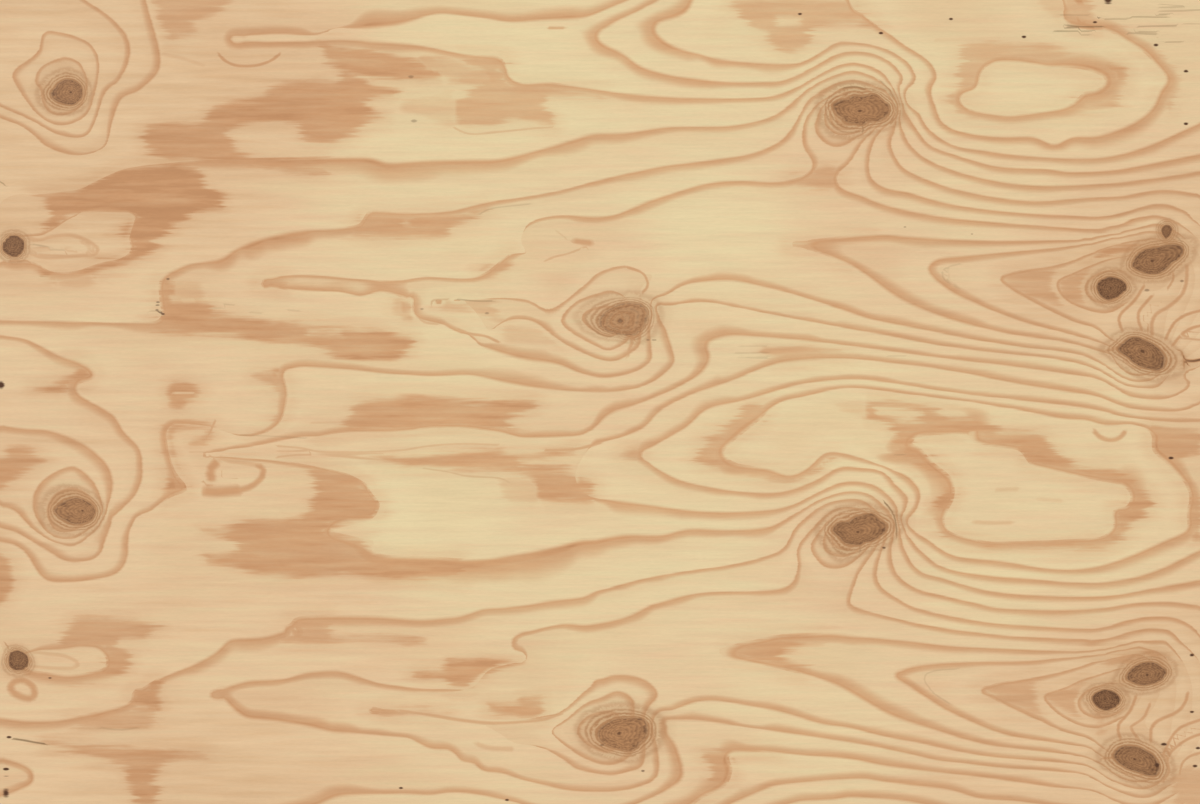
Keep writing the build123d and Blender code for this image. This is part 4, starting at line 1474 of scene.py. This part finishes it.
line_px = np.minimum(width, LINE_SHARE / np.maximum(slope, LEVEL))
depth_px = (np.ceil(ring) - ring) / np.maximum(slope, FLATTEST)
in_line = (1 - depth_px / np.maximum(line_px, THINNEST)).clip(0, 1)
in_patch = (patch / PATCH_RISE + 0.5).clip(0, 1)
in_hearts = [((HEART_RIM - np.hypot(*places.T[:2])) / HEART_RISE).clip(0, 1) * (places[:, 2] > 0)
             for places in knot_sets]
in_knot = np.maximum(*in_hearts).reshape(ring.shape)
dark_wood = np.maximum(np.maximum(in_line, in_patch), in_knot)


def face_points():
    """The points of the top, the two rings of points round it, and the middle of the bottom."""
    x = (grid_x - MIDDLE[0]) * METRES_PER_PIXEL
    y = (MIDDLE[1] - grid_y) * METRES_PER_PIXEL
    z = FACE_HIGH[2] - SANDED_DIP * (1 - dark_wood)
    top = np.stack([x, y, z], -1).reshape(-1, 3)
    numbers = np.arange(x.size).reshape(x.shape)
    rim = np.concatenate([numbers[:-1, 0], numbers[-1, :-1], numbers[:0:-1, -1], numbers[0, :0:-1]])
    outline = top[rim].copy()
    close = 1.5 * EASED_EDGE
    for axis in (0, 1):
        side = outline[:, axis]
        side = np.where(side > FACE_HIGH[axis] - close, FACE_HIGH[axis], side)
        outline[:, axis] = np.where(side < FACE_LOW[axis] + close, FACE_LOW[axis], side)
    upper, lower = outline.copy(), outline.copy()
    upper[:, 2] = FACE_HIGH[2] - EASED_EDGE
    lower[:, 2] = FACE_LOW[2]
    middle = [[0, 0, FACE_LOW[2]]]
    return np.vstack([top, upper, lower, middle]), numbers, rim


points, numbers, rim = face_points()
quads = np.stack([numbers[:-1, :-1], numbers[1:, :-1], numbers[1:, 1:], numbers[:-1, 1:]], -1).reshape(-1, 4)
upper = len(numbers.ravel()) + np.arange(len(rim))
lower = upper + len(rim)
middle = len(points) - 1


def band(above, below):
    """A band of faces between two rings of points."""
    return np.stack([above, below, np.roll(below, -1), np.roll(above, -1)], 1)


fan = np.stack([np.full(len(rim), middle), np.roll(lower, -1), lower], 1)
face_mesh = bpy.data.meshes.new("face_figure")
face_mesh.from_pydata(points.tolist(), [],
                      quads.tolist() + band(rim, upper).tolist() + band(upper, lower).tolist() + fan.tolist())
smooth = np.zeros(len(face_mesh.polygons), bool)
smooth[:len(quads)] = True
face_mesh.polygons.foreach_set("use_smooth", smooth)
ends = np.empty(2 * len(face_mesh.edges), int)
face_mesh.edges.foreach_get("vertices", ends)
on_rim = np.isin(ends.reshape(-1, 2), np.concatenate([rim, upper, lower, [middle]])).all(1)
face_mesh.attributes.new("sharp_edge", "BOOLEAN", "EDGE").data.foreach_set("value", on_rim)
print(sum(len(p.vertices) - 2 for p in face_mesh.polygons), "triangles in the face")

# %% What each point remembers
source = np.concatenate([numbers.ravel(), rim, rim, [0]])


def remember(name, *values):
    """Stores three values at each point of the face, under a name that the finish reads."""
    data = np.stack([np.asarray(v, float).ravel() for v in values], 1)[source]
    face_mesh.attributes.new(name, "FLOAT_VECTOR", "POINT").data.foreach_set("vector", data.ravel())


remember("rings", ring, slope, line_px)
remember("patches", patch, tone, patch_darkness)
remember("patch_end", patch_end, patch_end, patch_end)
for name, places in zip(("knot", "close_knot", "stroke", "speck"), knot_sets + [strokes, specks]):
    remember(name, *places.T)
face = bpy.data.objects.new("face_figure", face_mesh)
bpy.context.scene.collection.objects.link(face)
print("values stored for", len(source), "points")

# %% [markdown]
# ## Finishes
# A finish is wired from many small nodes. A helper keeps each step to one short line, so the
# recipe reads from top to bottom. Colours are written as they are seen on screen, from 0 to
# 255, and turned into the renderer's own scale in one place.

# %% Helpers for the finishes
def screen_colour(red, green, blue):
    """A colour as seen on screen, in the renderer's own scale."""
    return tuple((v / 255 / 12.92 if v <= 10.31 else ((v / 255 + 0.055) / 1.055) ** 2.4)
                 for v in (red, green, blue)) + (1.0,)


class Finish:
    """A material, with short calls to wire its nodes."""

    def __init__(self, name):
        self.material = bpy.data.materials.new(name)
        self.material.use_nodes = True
        self.tree = self.material.node_tree
        self.tree.nodes.clear()
        self.place = self.add("ShaderNodeTexCoord").outputs["Object"]

    def add(self, kind, inputs=None, **settings):
        node = self.tree.nodes.new(kind)
        for key, value in settings.items():
            setattr(node, key, value)
        for key, value in (inputs or {}).items():
            if isinstance(value, bpy.types.NodeSocket):
                self.tree.links.new(value, node.inputs[key])
            else:
                node.inputs[key].default_value = value
        return node

    def sum(self, *values):
        return self.maths("ADD", *values)

    def product(self, *values):
        return self.maths("MULTIPLY", *values)

    def plus(self, start, *parts):
        """A value, with each part added to it by its share."""
        return self.sum(start, *(self.product(value, share) for value, share in parts))

    def maths(self, operation, first, *rest, clamp=False):
        result = first
        for value in rest or [None]:
            inputs = {0: result} if value is None else {0: result, 1: value}
            node = self.add("ShaderNodeMath", inputs, operation=operation, use_clamp=clamp)
            result = node.outputs[0]
        return result

    def clamp(self, value):
        """The value, held between 0 and 1."""
        return self.maths("ADD", value, 0.0, clamp=True)

    def larger(self, first, second):
        return self.maths("MAXIMUM", first, second)

    def ratio(self, first, second):
        return self.maths("DIVIDE", first, second)

    def distance(self, along, across):
        """How far a place is from the middle, from its two parts."""
        return self.maths("SQRT", self.sum(self.product(along, along), self.product(across, across)))

    def ramp(self, value, start, stop, low=0.0, high=1.0, smooth=True):
        """Goes from low to high while the value goes from start to stop."""
        kind = "SMOOTHSTEP" if smooth else "LINEAR"
        node = self.add("ShaderNodeMapRange", {0: value, 1: start, 2: stop, 3: low, 4: high},
                        interpolation_type=kind)
        return node.outputs[0]

    def mix(self, share, first, second):
        node = self.add("ShaderNodeMix", {0: share, 6: first, 7: second}, data_type="RGBA")
        return node.outputs[2]

    def noise(self, stretch, detail, roughness, place=None, shift=0.0):
        """Noise with so many waves to the metre along each axis, from about -1 to 1."""
        moved = self.add("ShaderNodeMapping", {"Vector": place or self.place, "Scale": stretch,
                                               "Location": (shift, shift, shift)})
        node = self.add("ShaderNodeTexNoise", {"Vector": moved.outputs[0], "Scale": 1.0,
                                               "Detail": detail, "Roughness": roughness})
        return self.product(self.sum(node.outputs[0], -0.5), 3.0)

    def shade(self, colour, factor):
        """A colour made lighter or darker as a whole."""
        node = self.add("ShaderNodeVectorMath", {0: colour, "Scale": factor}, operation="SCALE")
        return node.outputs[0]

    def attribute(self, name):
        """The three values that the mesh holds under a name."""
        found = self.add("ShaderNodeAttribute", attribute_name=name)
        parts = self.add("ShaderNodeSeparateXYZ", {0: found.outputs["Vector"]})
        return parts.outputs

    def close(self, colour, roughness, height, strength, distance):
        """Ends the recipe with a matt surface and its bump."""
        bump = self.add("ShaderNodeBump", {"Height": height, "Strength": strength, "Distance": distance})
        surface = self.add("ShaderNodeBsdfPrincipled", {
            "Base Color": colour, "Roughness": roughness, "Normal": bump.outputs[0],
            "Specular IOR Level": 0.25})
        end = self.add("ShaderNodeOutputMaterial")
        self.tree.links.new(surface.outputs[0], end.inputs[0])
        return self.material


# %% [markdown]
# ## The finish of the face
# The finish first builds the fibres, as noise drawn out along the grain. They shift the soft
# edges of the dark wood a little, so that those run out in streaks, as they do on the sheet.
# The dark wood is then found from the ring numbers: it lies just below each whole number, crisp
# at the number itself and fading inwards. Patches, strokes, knots and specks come on top.

# %% Dark wood from the ring numbers
PALE_YELLOW = screen_colour(235, 214, 166)
PALE_TAN = screen_colour(231, 196, 153)
BROWN_SHADE = screen_colour(210, 168, 122)
DARK_WOOD = screen_colour(212, 155, 106)
DEEP_WOOD = screen_colour(184, 128, 84)
LINE_SPREAD = 1.2     # how far the soft edge of a line reaches, as a share of its width
LEAST_SPREAD = 0.3    # pixels that it reaches at least
DARKEST_PATCH = 0.92  # most dark wood that a patch can show


def dark_wood_share(finish, fibres, streaks, flecks):
    """How much latewood shows, from 0 to 1."""
    ring, slope, line = finish.attribute("rings")
    patch, _, patch_darkness = finish.attribute("patches")
    patch_end = finish.attribute("patch_end")[0]
    steep = finish.larger(slope, FLATTEST)
    wide = finish.larger(finish.product(line, LINE_SPREAD), LEAST_SPREAD)
    rise = finish.maths("MINIMUM", finish.product(wide, 0.42), 4.5)
    waver = finish.plus(fibres, (streaks, 1.1))
    moved = finish.plus(finish.product(waver, 0.6), (rise, -0.4))
    part = finish.maths("FRACT", finish.plus(ring, (moved, slope)))
    below = finish.ratio(finish.maths("SUBTRACT", 1.0, part), steep)
    above = finish.ratio(part, steep)
    inwards = finish.ratio(finish.sum(below, waver), wide)
    core = finish.ramp(inwards, 0.30, 0.90, 0.88, 0.0)
    band = finish.ramp(inwards, 0.50, 1.60, 0.72, 0.0)
    uneven = finish.plus(1.0, (streaks, 0.10), (fibres, 0.05), (flecks, 0.14))
    crisp_edge = finish.ramp(finish.ratio(below, rise), -0.15, 1.0)
    lines = finish.product(finish.larger(core, band), crisp_edge, uneven, finish.ramp(line, 0.4, 1.2))
    held_back = finish.ramp(above, 0.0, 6.0, 5.0, 0.0)
    teeth = finish.plus(finish.product(streaks, 8.0), (fibres, 6.0))
    edge = finish.plus(patch, (fibres, 3.0), (flecks, 4.5), (streaks, 1.5), (teeth, patch_end))
    edge = finish.maths("SUBTRACT", edge, held_back)
    soft = finish.larger(finish.ramp(edge, -6.5, 5.0), finish.ramp(edge, -19.0, 3.0, 0.0, 0.32))
    mottled = finish.plus(1.0, (streaks, 0.22), (fibres, 0.10), (flecks, 0.24))
    patches = finish.maths("MINIMUM", finish.product(soft, patch_darkness, mottled), DARKEST_PATCH)
    haze = finish.product(finish.ramp(part, 0.3, 1.0), 0.16)
    return finish.larger(finish.larger(lines, patches), haze)


# %% Strokes and specks
HAIRLINE = 2.3        # strokes up to this width, in pixels, are hairlines
NOT_HAIRLINE = 2.6    # and from this width they aren't
HAIRLINE_GREY = screen_colour(120, 92, 56)


def add_strokes(finish, share, waver):
    """Adds the strokes to the dark wood: broad ones darken it, pale ones clear it, and hairlines
    are kept apart, because they are grey."""
    distance, strength, stroke_width = finish.attribute("stroke")
    bent = finish.maths("ABSOLUTE", finish.plus(distance, (waver, 0.5)))
    profile = finish.ramp(finish.ratio(bent, stroke_width), 0.1, STROKE_SPREAD, 1.0, 0.0)
    ink = finish.product(profile, strength)
    cleared = finish.product(share, finish.ramp(ink, -1.0, 0.0, 0.0, 1.0, smooth=False))
    broad = finish.product(ink, finish.ramp(stroke_width, HAIRLINE, NOT_HAIRLINE))
    hairlines = finish.product(ink, finish.ramp(stroke_width, HAIRLINE, NOT_HAIRLINE, 0.5, 0.0))
    return finish.larger(cleared, broad), hairlines


def speck_share(finish, waver):
    """How much of a pin or speck shows, with an edge that wavers a little."""
    along, across, darkness = finish.attribute("speck")
    bent = finish.plus(finish.distance(along, across), (waver, 0.35))
    return finish.product(finish.ramp(bent, 0.4, 1.1, 1.0, 0.0), darkness)


# %% [markdown]
# A knot is drawn on its own scale, where the heart ends at 1 and the collar at 2. The heart gets
# its fine rings, rays and grit, and a dark rim where the bark was. The collar gets rings of its
# own that fade outwards. This takes one recipe for all of them, however they are shaped.

# %% One set of knots
KNOT_LIGHT = screen_colour(186, 135, 90)
KNOT_DEEP = screen_colour(86, 52, 29)
COLLAR = screen_colour(172, 118, 74)
KNOT_SHOWS = 0.12     # darkness from which a knot shows in full


def add_knots(finish, colour, name):
    """Lays the knots of one set over a colour. Returns the colour and where the hearts are."""
    along, across, darkness = finish.attribute(name)
    flat = finish.add("ShaderNodeCombineXYZ", {0: along, 1: across}).outputs[0]
    away = finish.add("ShaderNodeVectorMath", {0: flat}, operation="LENGTH").outputs["Value"]
    outwards = finish.add("ShaderNodeVectorMath", {0: flat}, operation="NORMALIZE").outputs[0]
    own = finish.product(darkness, 9.0)
    spot = finish.add("ShaderNodeCombineXYZ", {0: along, 1: across, 2: own}).outputs[0]
    lumps = finish.noise((1.7, 1.7, 1.7), 2.0, 0.5, spot)
    grit = finish.noise((6.0, 9.0, 6.0), 3.0, 0.6, spot)
    rays = finish.noise((5.0, 5.0, 0.0), 2.0, 0.6, outwards, shift=3.0)
    bent = finish.plus(away, (lumps, 0.09), (grit, 0.05), (rays, 0.05))
    here = finish.ramp(darkness, 0.0, KNOT_SHOWS, smooth=False)
    rings_in = finish.maths("SINE", finish.product(bent, 42.0))
    depth = finish.plus(darkness, (rings_in, 0.12), (grit, 0.34),
                        (finish.ramp(bent, 0.3, 1.0), finish.plus(0.14, (rays, 0.30))))
    heart = finish.mix(finish.clamp(depth), KNOT_LIGHT, KNOT_DEEP)
    pith = finish.ramp(bent, 0.03, 0.14, 0.75, 0.0)
    rim = finish.product(finish.ramp(bent, 0.82, 0.98), finish.ramp(bent, 1.0, 1.15, 1.0, 0.0),
                         finish.ramp(finish.sum(lumps, grit), -0.3, 0.9, 0.0, 0.6))
    heart = finish.mix(finish.larger(pith, rim), heart, KNOT_DEEP)
    fine_rings = finish.maths("SINE", finish.product(bent, 18.0))
    rough_rings = finish.plus(fine_rings, (grit, 1.2), (lumps, 0.8))
    wave = finish.ramp(rough_rings, -1.0, 1.3, 0.5, 1.3)
    collar_share = finish.product(finish.ramp(bent, 1.0, 2.1, 1.0, 0.5, smooth=False),
                                  finish.ramp(bent, 1.95, 2.6, 1.0, 0.0), wave, here)
    colour = finish.mix(collar_share, colour, COLLAR)
    haze = finish.product(finish.ramp(bent, 1.6, 2.9, 0.26, 0.0), here)
    colour = finish.mix(haze, colour, BROWN_SHADE)
    share = finish.product(finish.ramp(bent, 0.90, 1.18, 1.0, 0.0), here)
    return finish.mix(share, colour, heart), share


# %% [markdown]
# The mesh carries the broad relief, and a bump adds the fibres, which are far too fine for it.
# Modelling them would take millions of triangles for a few hundredths of a millimetre.

# %% Relief of the face
def face_relief(finish, fibres):
    """Height of the surface: fibres and dark wood stand proud, hearts too, and pins are pits.

    Only the fibres are noise here, because the bump works this out three times at every spot."""
    ring, slope, line = finish.attribute("rings")
    steep = finish.larger(slope, FLATTEST)
    wide = finish.larger(finish.product(line, LINE_SPREAD), LEAST_SPREAD)
    part = finish.maths("FRACT", ring)
    below = finish.ratio(finish.ratio(finish.maths("SUBTRACT", 1.0, part), steep), wide)
    in_line = finish.product(finish.ramp(below, 0.0, 0.4), finish.ramp(below, 0.4, 1.4, 1.0, 0.0))
    in_patch = finish.ramp(finish.attribute("patches")[0], -4.0, 4.0)
    dark = finish.larger(in_line, in_patch)
    height = finish.plus(finish.product(fibres, 0.3), (dark, 0.35))
    for name in ("knot", "close_knot", "speck"):
        along, across, darkness = finish.attribute(name)
        away = finish.distance(along, across)
        if name == "speck":
            pit = finish.ramp(away, 0.4, 1.1, -2.0, 0.0)
            height = finish.plus(height, (pit, darkness))
        else:
            here = finish.ramp(darkness, 0.0, KNOT_SHOWS, smooth=False)
            heart = finish.product(finish.ramp(away, 0.90, 1.18, 0.5, 0.0), here)
            crack = finish.product(finish.ramp(away, 0.82, 0.98),
                                   finish.ramp(away, 1.0, 1.15, -0.4, 0.0), here)
            height = finish.sum(height, heart, crack)
    return height


# %% The face finish
def face_finish():
    """Pale wood, then the dark wood, the strokes, the knots and the pins, and last the fibres."""
    finish = Finish("pine_face")
    fibres = finish.noise((15.0, 300.0, 20.0), 3.0, 0.6)
    streaks = finish.noise((7.0, 95.0, 9.0), 3.0, 0.55, shift=7.0)
    flecks = finish.noise((9.0, 42.0, 9.0), 3.0, 0.6, shift=11.0)
    clouds = finish.noise((1.6, 6.0, 3.0), 2.0, 0.5, shift=3.0)
    waver = finish.sum(fibres, streaks)
    tone = finish.attribute("patches")[1]
    base = finish.plus(tone, (clouds, 0.30), (streaks, 0.48), (fibres, 0.18))
    pale = finish.mix(finish.clamp(base), PALE_YELLOW, PALE_TAN)
    pale = finish.mix(finish.ramp(base, 1.0, 2.0, smooth=False), pale, BROWN_SHADE)
    share, hairlines = add_strokes(finish, dark_wood_share(finish, fibres, streaks, flecks), waver)
    depth = finish.plus(finish.product(tone, 0.40), (streaks, 0.30), (fibres, 0.15))
    dark = finish.mix(finish.clamp(depth), DARK_WOOD, DEEP_WOOD)
    colour = finish.mix(finish.maths("MINIMUM", share, 1.0), pale, dark)
    colour = finish.mix(finish.ramp(share, 0.85, 1.35), colour, KNOT_DEEP)
    colour = finish.mix(finish.clamp(hairlines), colour, HAIRLINE_GREY)
    colour, hearts = add_knots(finish, colour, "knot")
    colour, close_hearts = add_knots(finish, colour, "close_knot")
    specks = speck_share(finish, waver)
    colour = finish.mix(specks, colour, KNOT_DEEP)
    hairs = finish.noise((110.0, 700.0, 100.0), 1.0, 0.5)
    grain = finish.plus(1.0, (fibres, 0.07), (streaks, 0.012), (flecks, 0.022), (hairs, 0.03))
    colour = finish.shade(colour, grain)
    roughness = finish.plus(0.62, (share, -0.06), (hearts, -0.12), (close_hearts, -0.12))
    return finish.close(colour, roughness, face_relief(finish, fibres), 0.5, 0.0003)


face.data.materials.append(face_finish())
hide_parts("face_veneer")
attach(face, "root")
print("face finished with", len(face.data.materials[0].node_tree.nodes), "nodes")

# %% [markdown]
# ## The back and the inner plies
# The other six veneers show only their edges, apart from the back, which is peeled pine as well.
# A sawn edge shows the long plies as smooth strips with the grain running along, and the
# crossbands as rough, darker end grain, full of cut tubes. At the two ends of the sheet it is
# the other way round, so one recipe serves both kinds of ply: it looks at which way the surface
# points. Their solids are right as they are, so only their material changes.

# %% Finishes of the plies
EDGE_SIDE = screen_colour(222, 190, 146)
EDGE_END = screen_colour(186, 142, 98)
EDGE_SHADE = screen_colour(150, 108, 70)
GLUE_LINE = screen_colour(96, 62, 40)
GLUE_THICKNESS = 0.00018  # metres of dark glue that shows along each joint
GLUE_CORE = 0.3           # share of that thickness that shows in full
GLUE_STRENGTH = 0.85


def ply_finish(name, grain_axis, low, high):
    """Veneer seen at its sawn edge, with the glue lines that bound it."""
    finish = Finish(name)
    z = finish.add("ShaderNodeSeparateXYZ", {0: finish.place}).outputs[2]
    facing = finish.add("ShaderNodeTexCoord").outputs["Normal"]
    normal = finish.add("ShaderNodeSeparateXYZ", {0: facing}).outputs
    end_on = finish.ramp(finish.maths("ABSOLUTE", normal[grain_axis]), 0.4, 0.6)
    along = [420.0, 420.0, 700.0]
    along[grain_axis] = 12.0
    fibres = finish.noise(tuple(along), 3.0, 0.6)
    pores = finish.noise((1500.0, 1500.0, 1500.0), 2.0, 0.7)
    bands = finish.noise((90.0, 90.0, 420.0), 2.0, 0.5, shift=4.0)
    side = finish.mix(finish.ramp(finish.sum(fibres, bands), -1.2, 1.2), EDGE_SIDE, EDGE_END)
    end = finish.mix(finish.ramp(finish.sum(pores, bands), -1.0, 1.4), EDGE_END, EDGE_SHADE)
    colour = finish.mix(end_on, side, end)
    for joint, inwards in ((low, 1), (high, -1)):
        depth = finish.product(finish.sum(z, -joint), inwards)
        line = finish.ramp(depth, GLUE_CORE * GLUE_THICKNESS, GLUE_THICKNESS, GLUE_STRENGTH, 0.0)
        colour = finish.mix(line, colour, GLUE_LINE)
    height = finish.plus(finish.product(fibres, 0.4), (pores, end_on))
    roughness = finish.plus(0.7, (end_on, 0.15))
    return finish.close(colour, roughness, height, 0.6, 0.0003)


LONG, ACROSS = 0, 1
PLY_GRAIN = {
    "crossband_lower": ACROSS, "long_ply_lower": LONG, "core_crossband": ACROSS,
    "long_ply_upper": LONG, "crossband_upper": ACROSS,
}
for node, grain in PLY_GRAIN.items():
    low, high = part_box(node)
    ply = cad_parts[node]
    ply.data.materials.clear()
    ply.data.materials.append(ply_finish(node + "_edge", grain, low[2], high[2]))
    print(node, "from", round(low[2] * 1000, 2), "to", round(high[2] * 1000, 2), "mm")

# %% [markdown]
# ## The back
# The back is a veneer like the face, only never photographed. It gets a plain figure of its own:
# wide arches from slow noise, cut into rings in the same way as on the face, with the crisp edge
# on one side and streaks on the other. No knots are made up for it.

# %% Finish of the back
def back_finish():
    """Arches from slow noise, and the glue line along the joint above."""
    finish = Finish("pine_back")
    fibres = finish.noise((10.0, 430.0, 20.0), 3.0, 0.55, shift=11.0)
    streaks = finish.noise((2.6, 95.0, 9.0), 3.0, 0.55, shift=17.0)
    hills = finish.noise((0.9, 3.4, 1.0), 1.5, 0.4, shift=2.3)
    y, z = finish.add("ShaderNodeSeparateXYZ", {0: finish.place}).outputs[1:]
    ring = finish.plus(finish.product(hills, 3.2), (y, 1.5), (streaks, 0.05), (fibres, 0.03))
    part = finish.maths("FRACT", ring)
    line = finish.product(finish.ramp(part, 0.72, 0.93), finish.ramp(part, 0.985, 1.0, 1.0, 0.0))
    base = finish.plus(0.55, (streaks, 0.2), (fibres, 0.15))
    pale = finish.mix(finish.clamp(base), PALE_YELLOW, PALE_TAN)
    colour = finish.mix(line, pale, DARK_WOOD)
    height = finish.plus(finish.product(fibres, 0.25), (line, 0.5))
    roughness = finish.plus(0.64, (line, -0.08))
    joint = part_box("back_veneer")[1][2]
    edge = finish.ramp(z, joint - GLUE_THICKNESS, joint - GLUE_CORE * GLUE_THICKNESS, 0.0, GLUE_STRENGTH)
    colour = finish.mix(edge, colour, GLUE_LINE)
    return finish.close(colour, roughness, height, 0.5, 0.0003)


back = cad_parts["back_veneer"]
back.data.materials.clear()
back.data.materials.append(back_finish())
print("back finished with", len(back.data.materials[0].node_tree.nodes), "nodes")

# %% [markdown]
# ## Floor, light and camera
# The sheet lies on a plain pale floor. A bright sky all round gives the even light of the photo,
# and one soft, far lamp from the upper left adds just enough slant to show the relief. The camera
# looks straight down from over the middle of the sheet, as the photo does, and its height
# follows from its lens and the width of the view.

# %% Floor and light
FLOOR_SIZE = 30.0
FLOOR_COLOUR = screen_colour(236, 235, 232)


def plain_floor():
    half = FLOOR_SIZE / 2
    mesh = bpy.data.meshes.new("floor")
    corners = [(-half, -half, 0), (half, -half, 0), (half, half, 0), (-half, half, 0)]
    mesh.from_pydata(corners, [], [(0, 1, 2, 3)])
    floor = bpy.data.objects.new("floor", mesh)
    bpy.context.scene.collection.objects.link(floor)
    finish = Finish("floor_paint")
    surface = finish.add("ShaderNodeBsdfPrincipled", {"Base Color": FLOOR_COLOUR, "Roughness": 0.8})
    end = finish.add("ShaderNodeOutputMaterial")
    finish.tree.links.new(surface.outputs[0], end.inputs[0])
    mesh.materials.append(finish.material)


plain_floor()

SKY_STRENGTH = 0.735
SUN_STRENGTH = 0.85
SUN_TURN = (math.radians(-38), 0, math.radians(55))  # leans in from the upper left
SUN_ANGLE = math.radians(25)

world = bpy.data.worlds.new("studio")
world.use_nodes = True
world.node_tree.nodes["Background"].inputs["Color"].default_value = (1.0, 1.0, 1.0, 1.0)
world.node_tree.nodes["Background"].inputs["Strength"].default_value = SKY_STRENGTH
bpy.context.scene.world = world

sun_data = bpy.data.lights.new("sun", "SUN")
sun_data.energy = SUN_STRENGTH
sun_data.angle = SUN_ANGLE
sun = bpy.data.objects.new("sun", sun_data)
sun.rotation_euler = SUN_TURN
bpy.context.scene.collection.objects.link(sun)
print("sky", SKY_STRENGTH, "and sun", SUN_STRENGTH)

# %% Camera
SENSOR = 36.0         # millimetres
LENS = 50.0
view_width = PHOTO_WIDTH * METRES_PER_PIXEL
camera_data = bpy.data.cameras.new("camera")
camera_data.sensor_width = SENSOR
camera_data.lens = LENS
camera = bpy.data.objects.new("camera", camera_data)
camera.location = (0, 0, FACE_HIGH[2] + view_width * LENS / SENSOR)
bpy.context.scene.collection.objects.link(camera)
bpy.context.scene.camera = camera
bpy.context.scene.view_settings.view_transform = "Standard"
print("camera", round(camera.location[2], 3), "m above the floor")
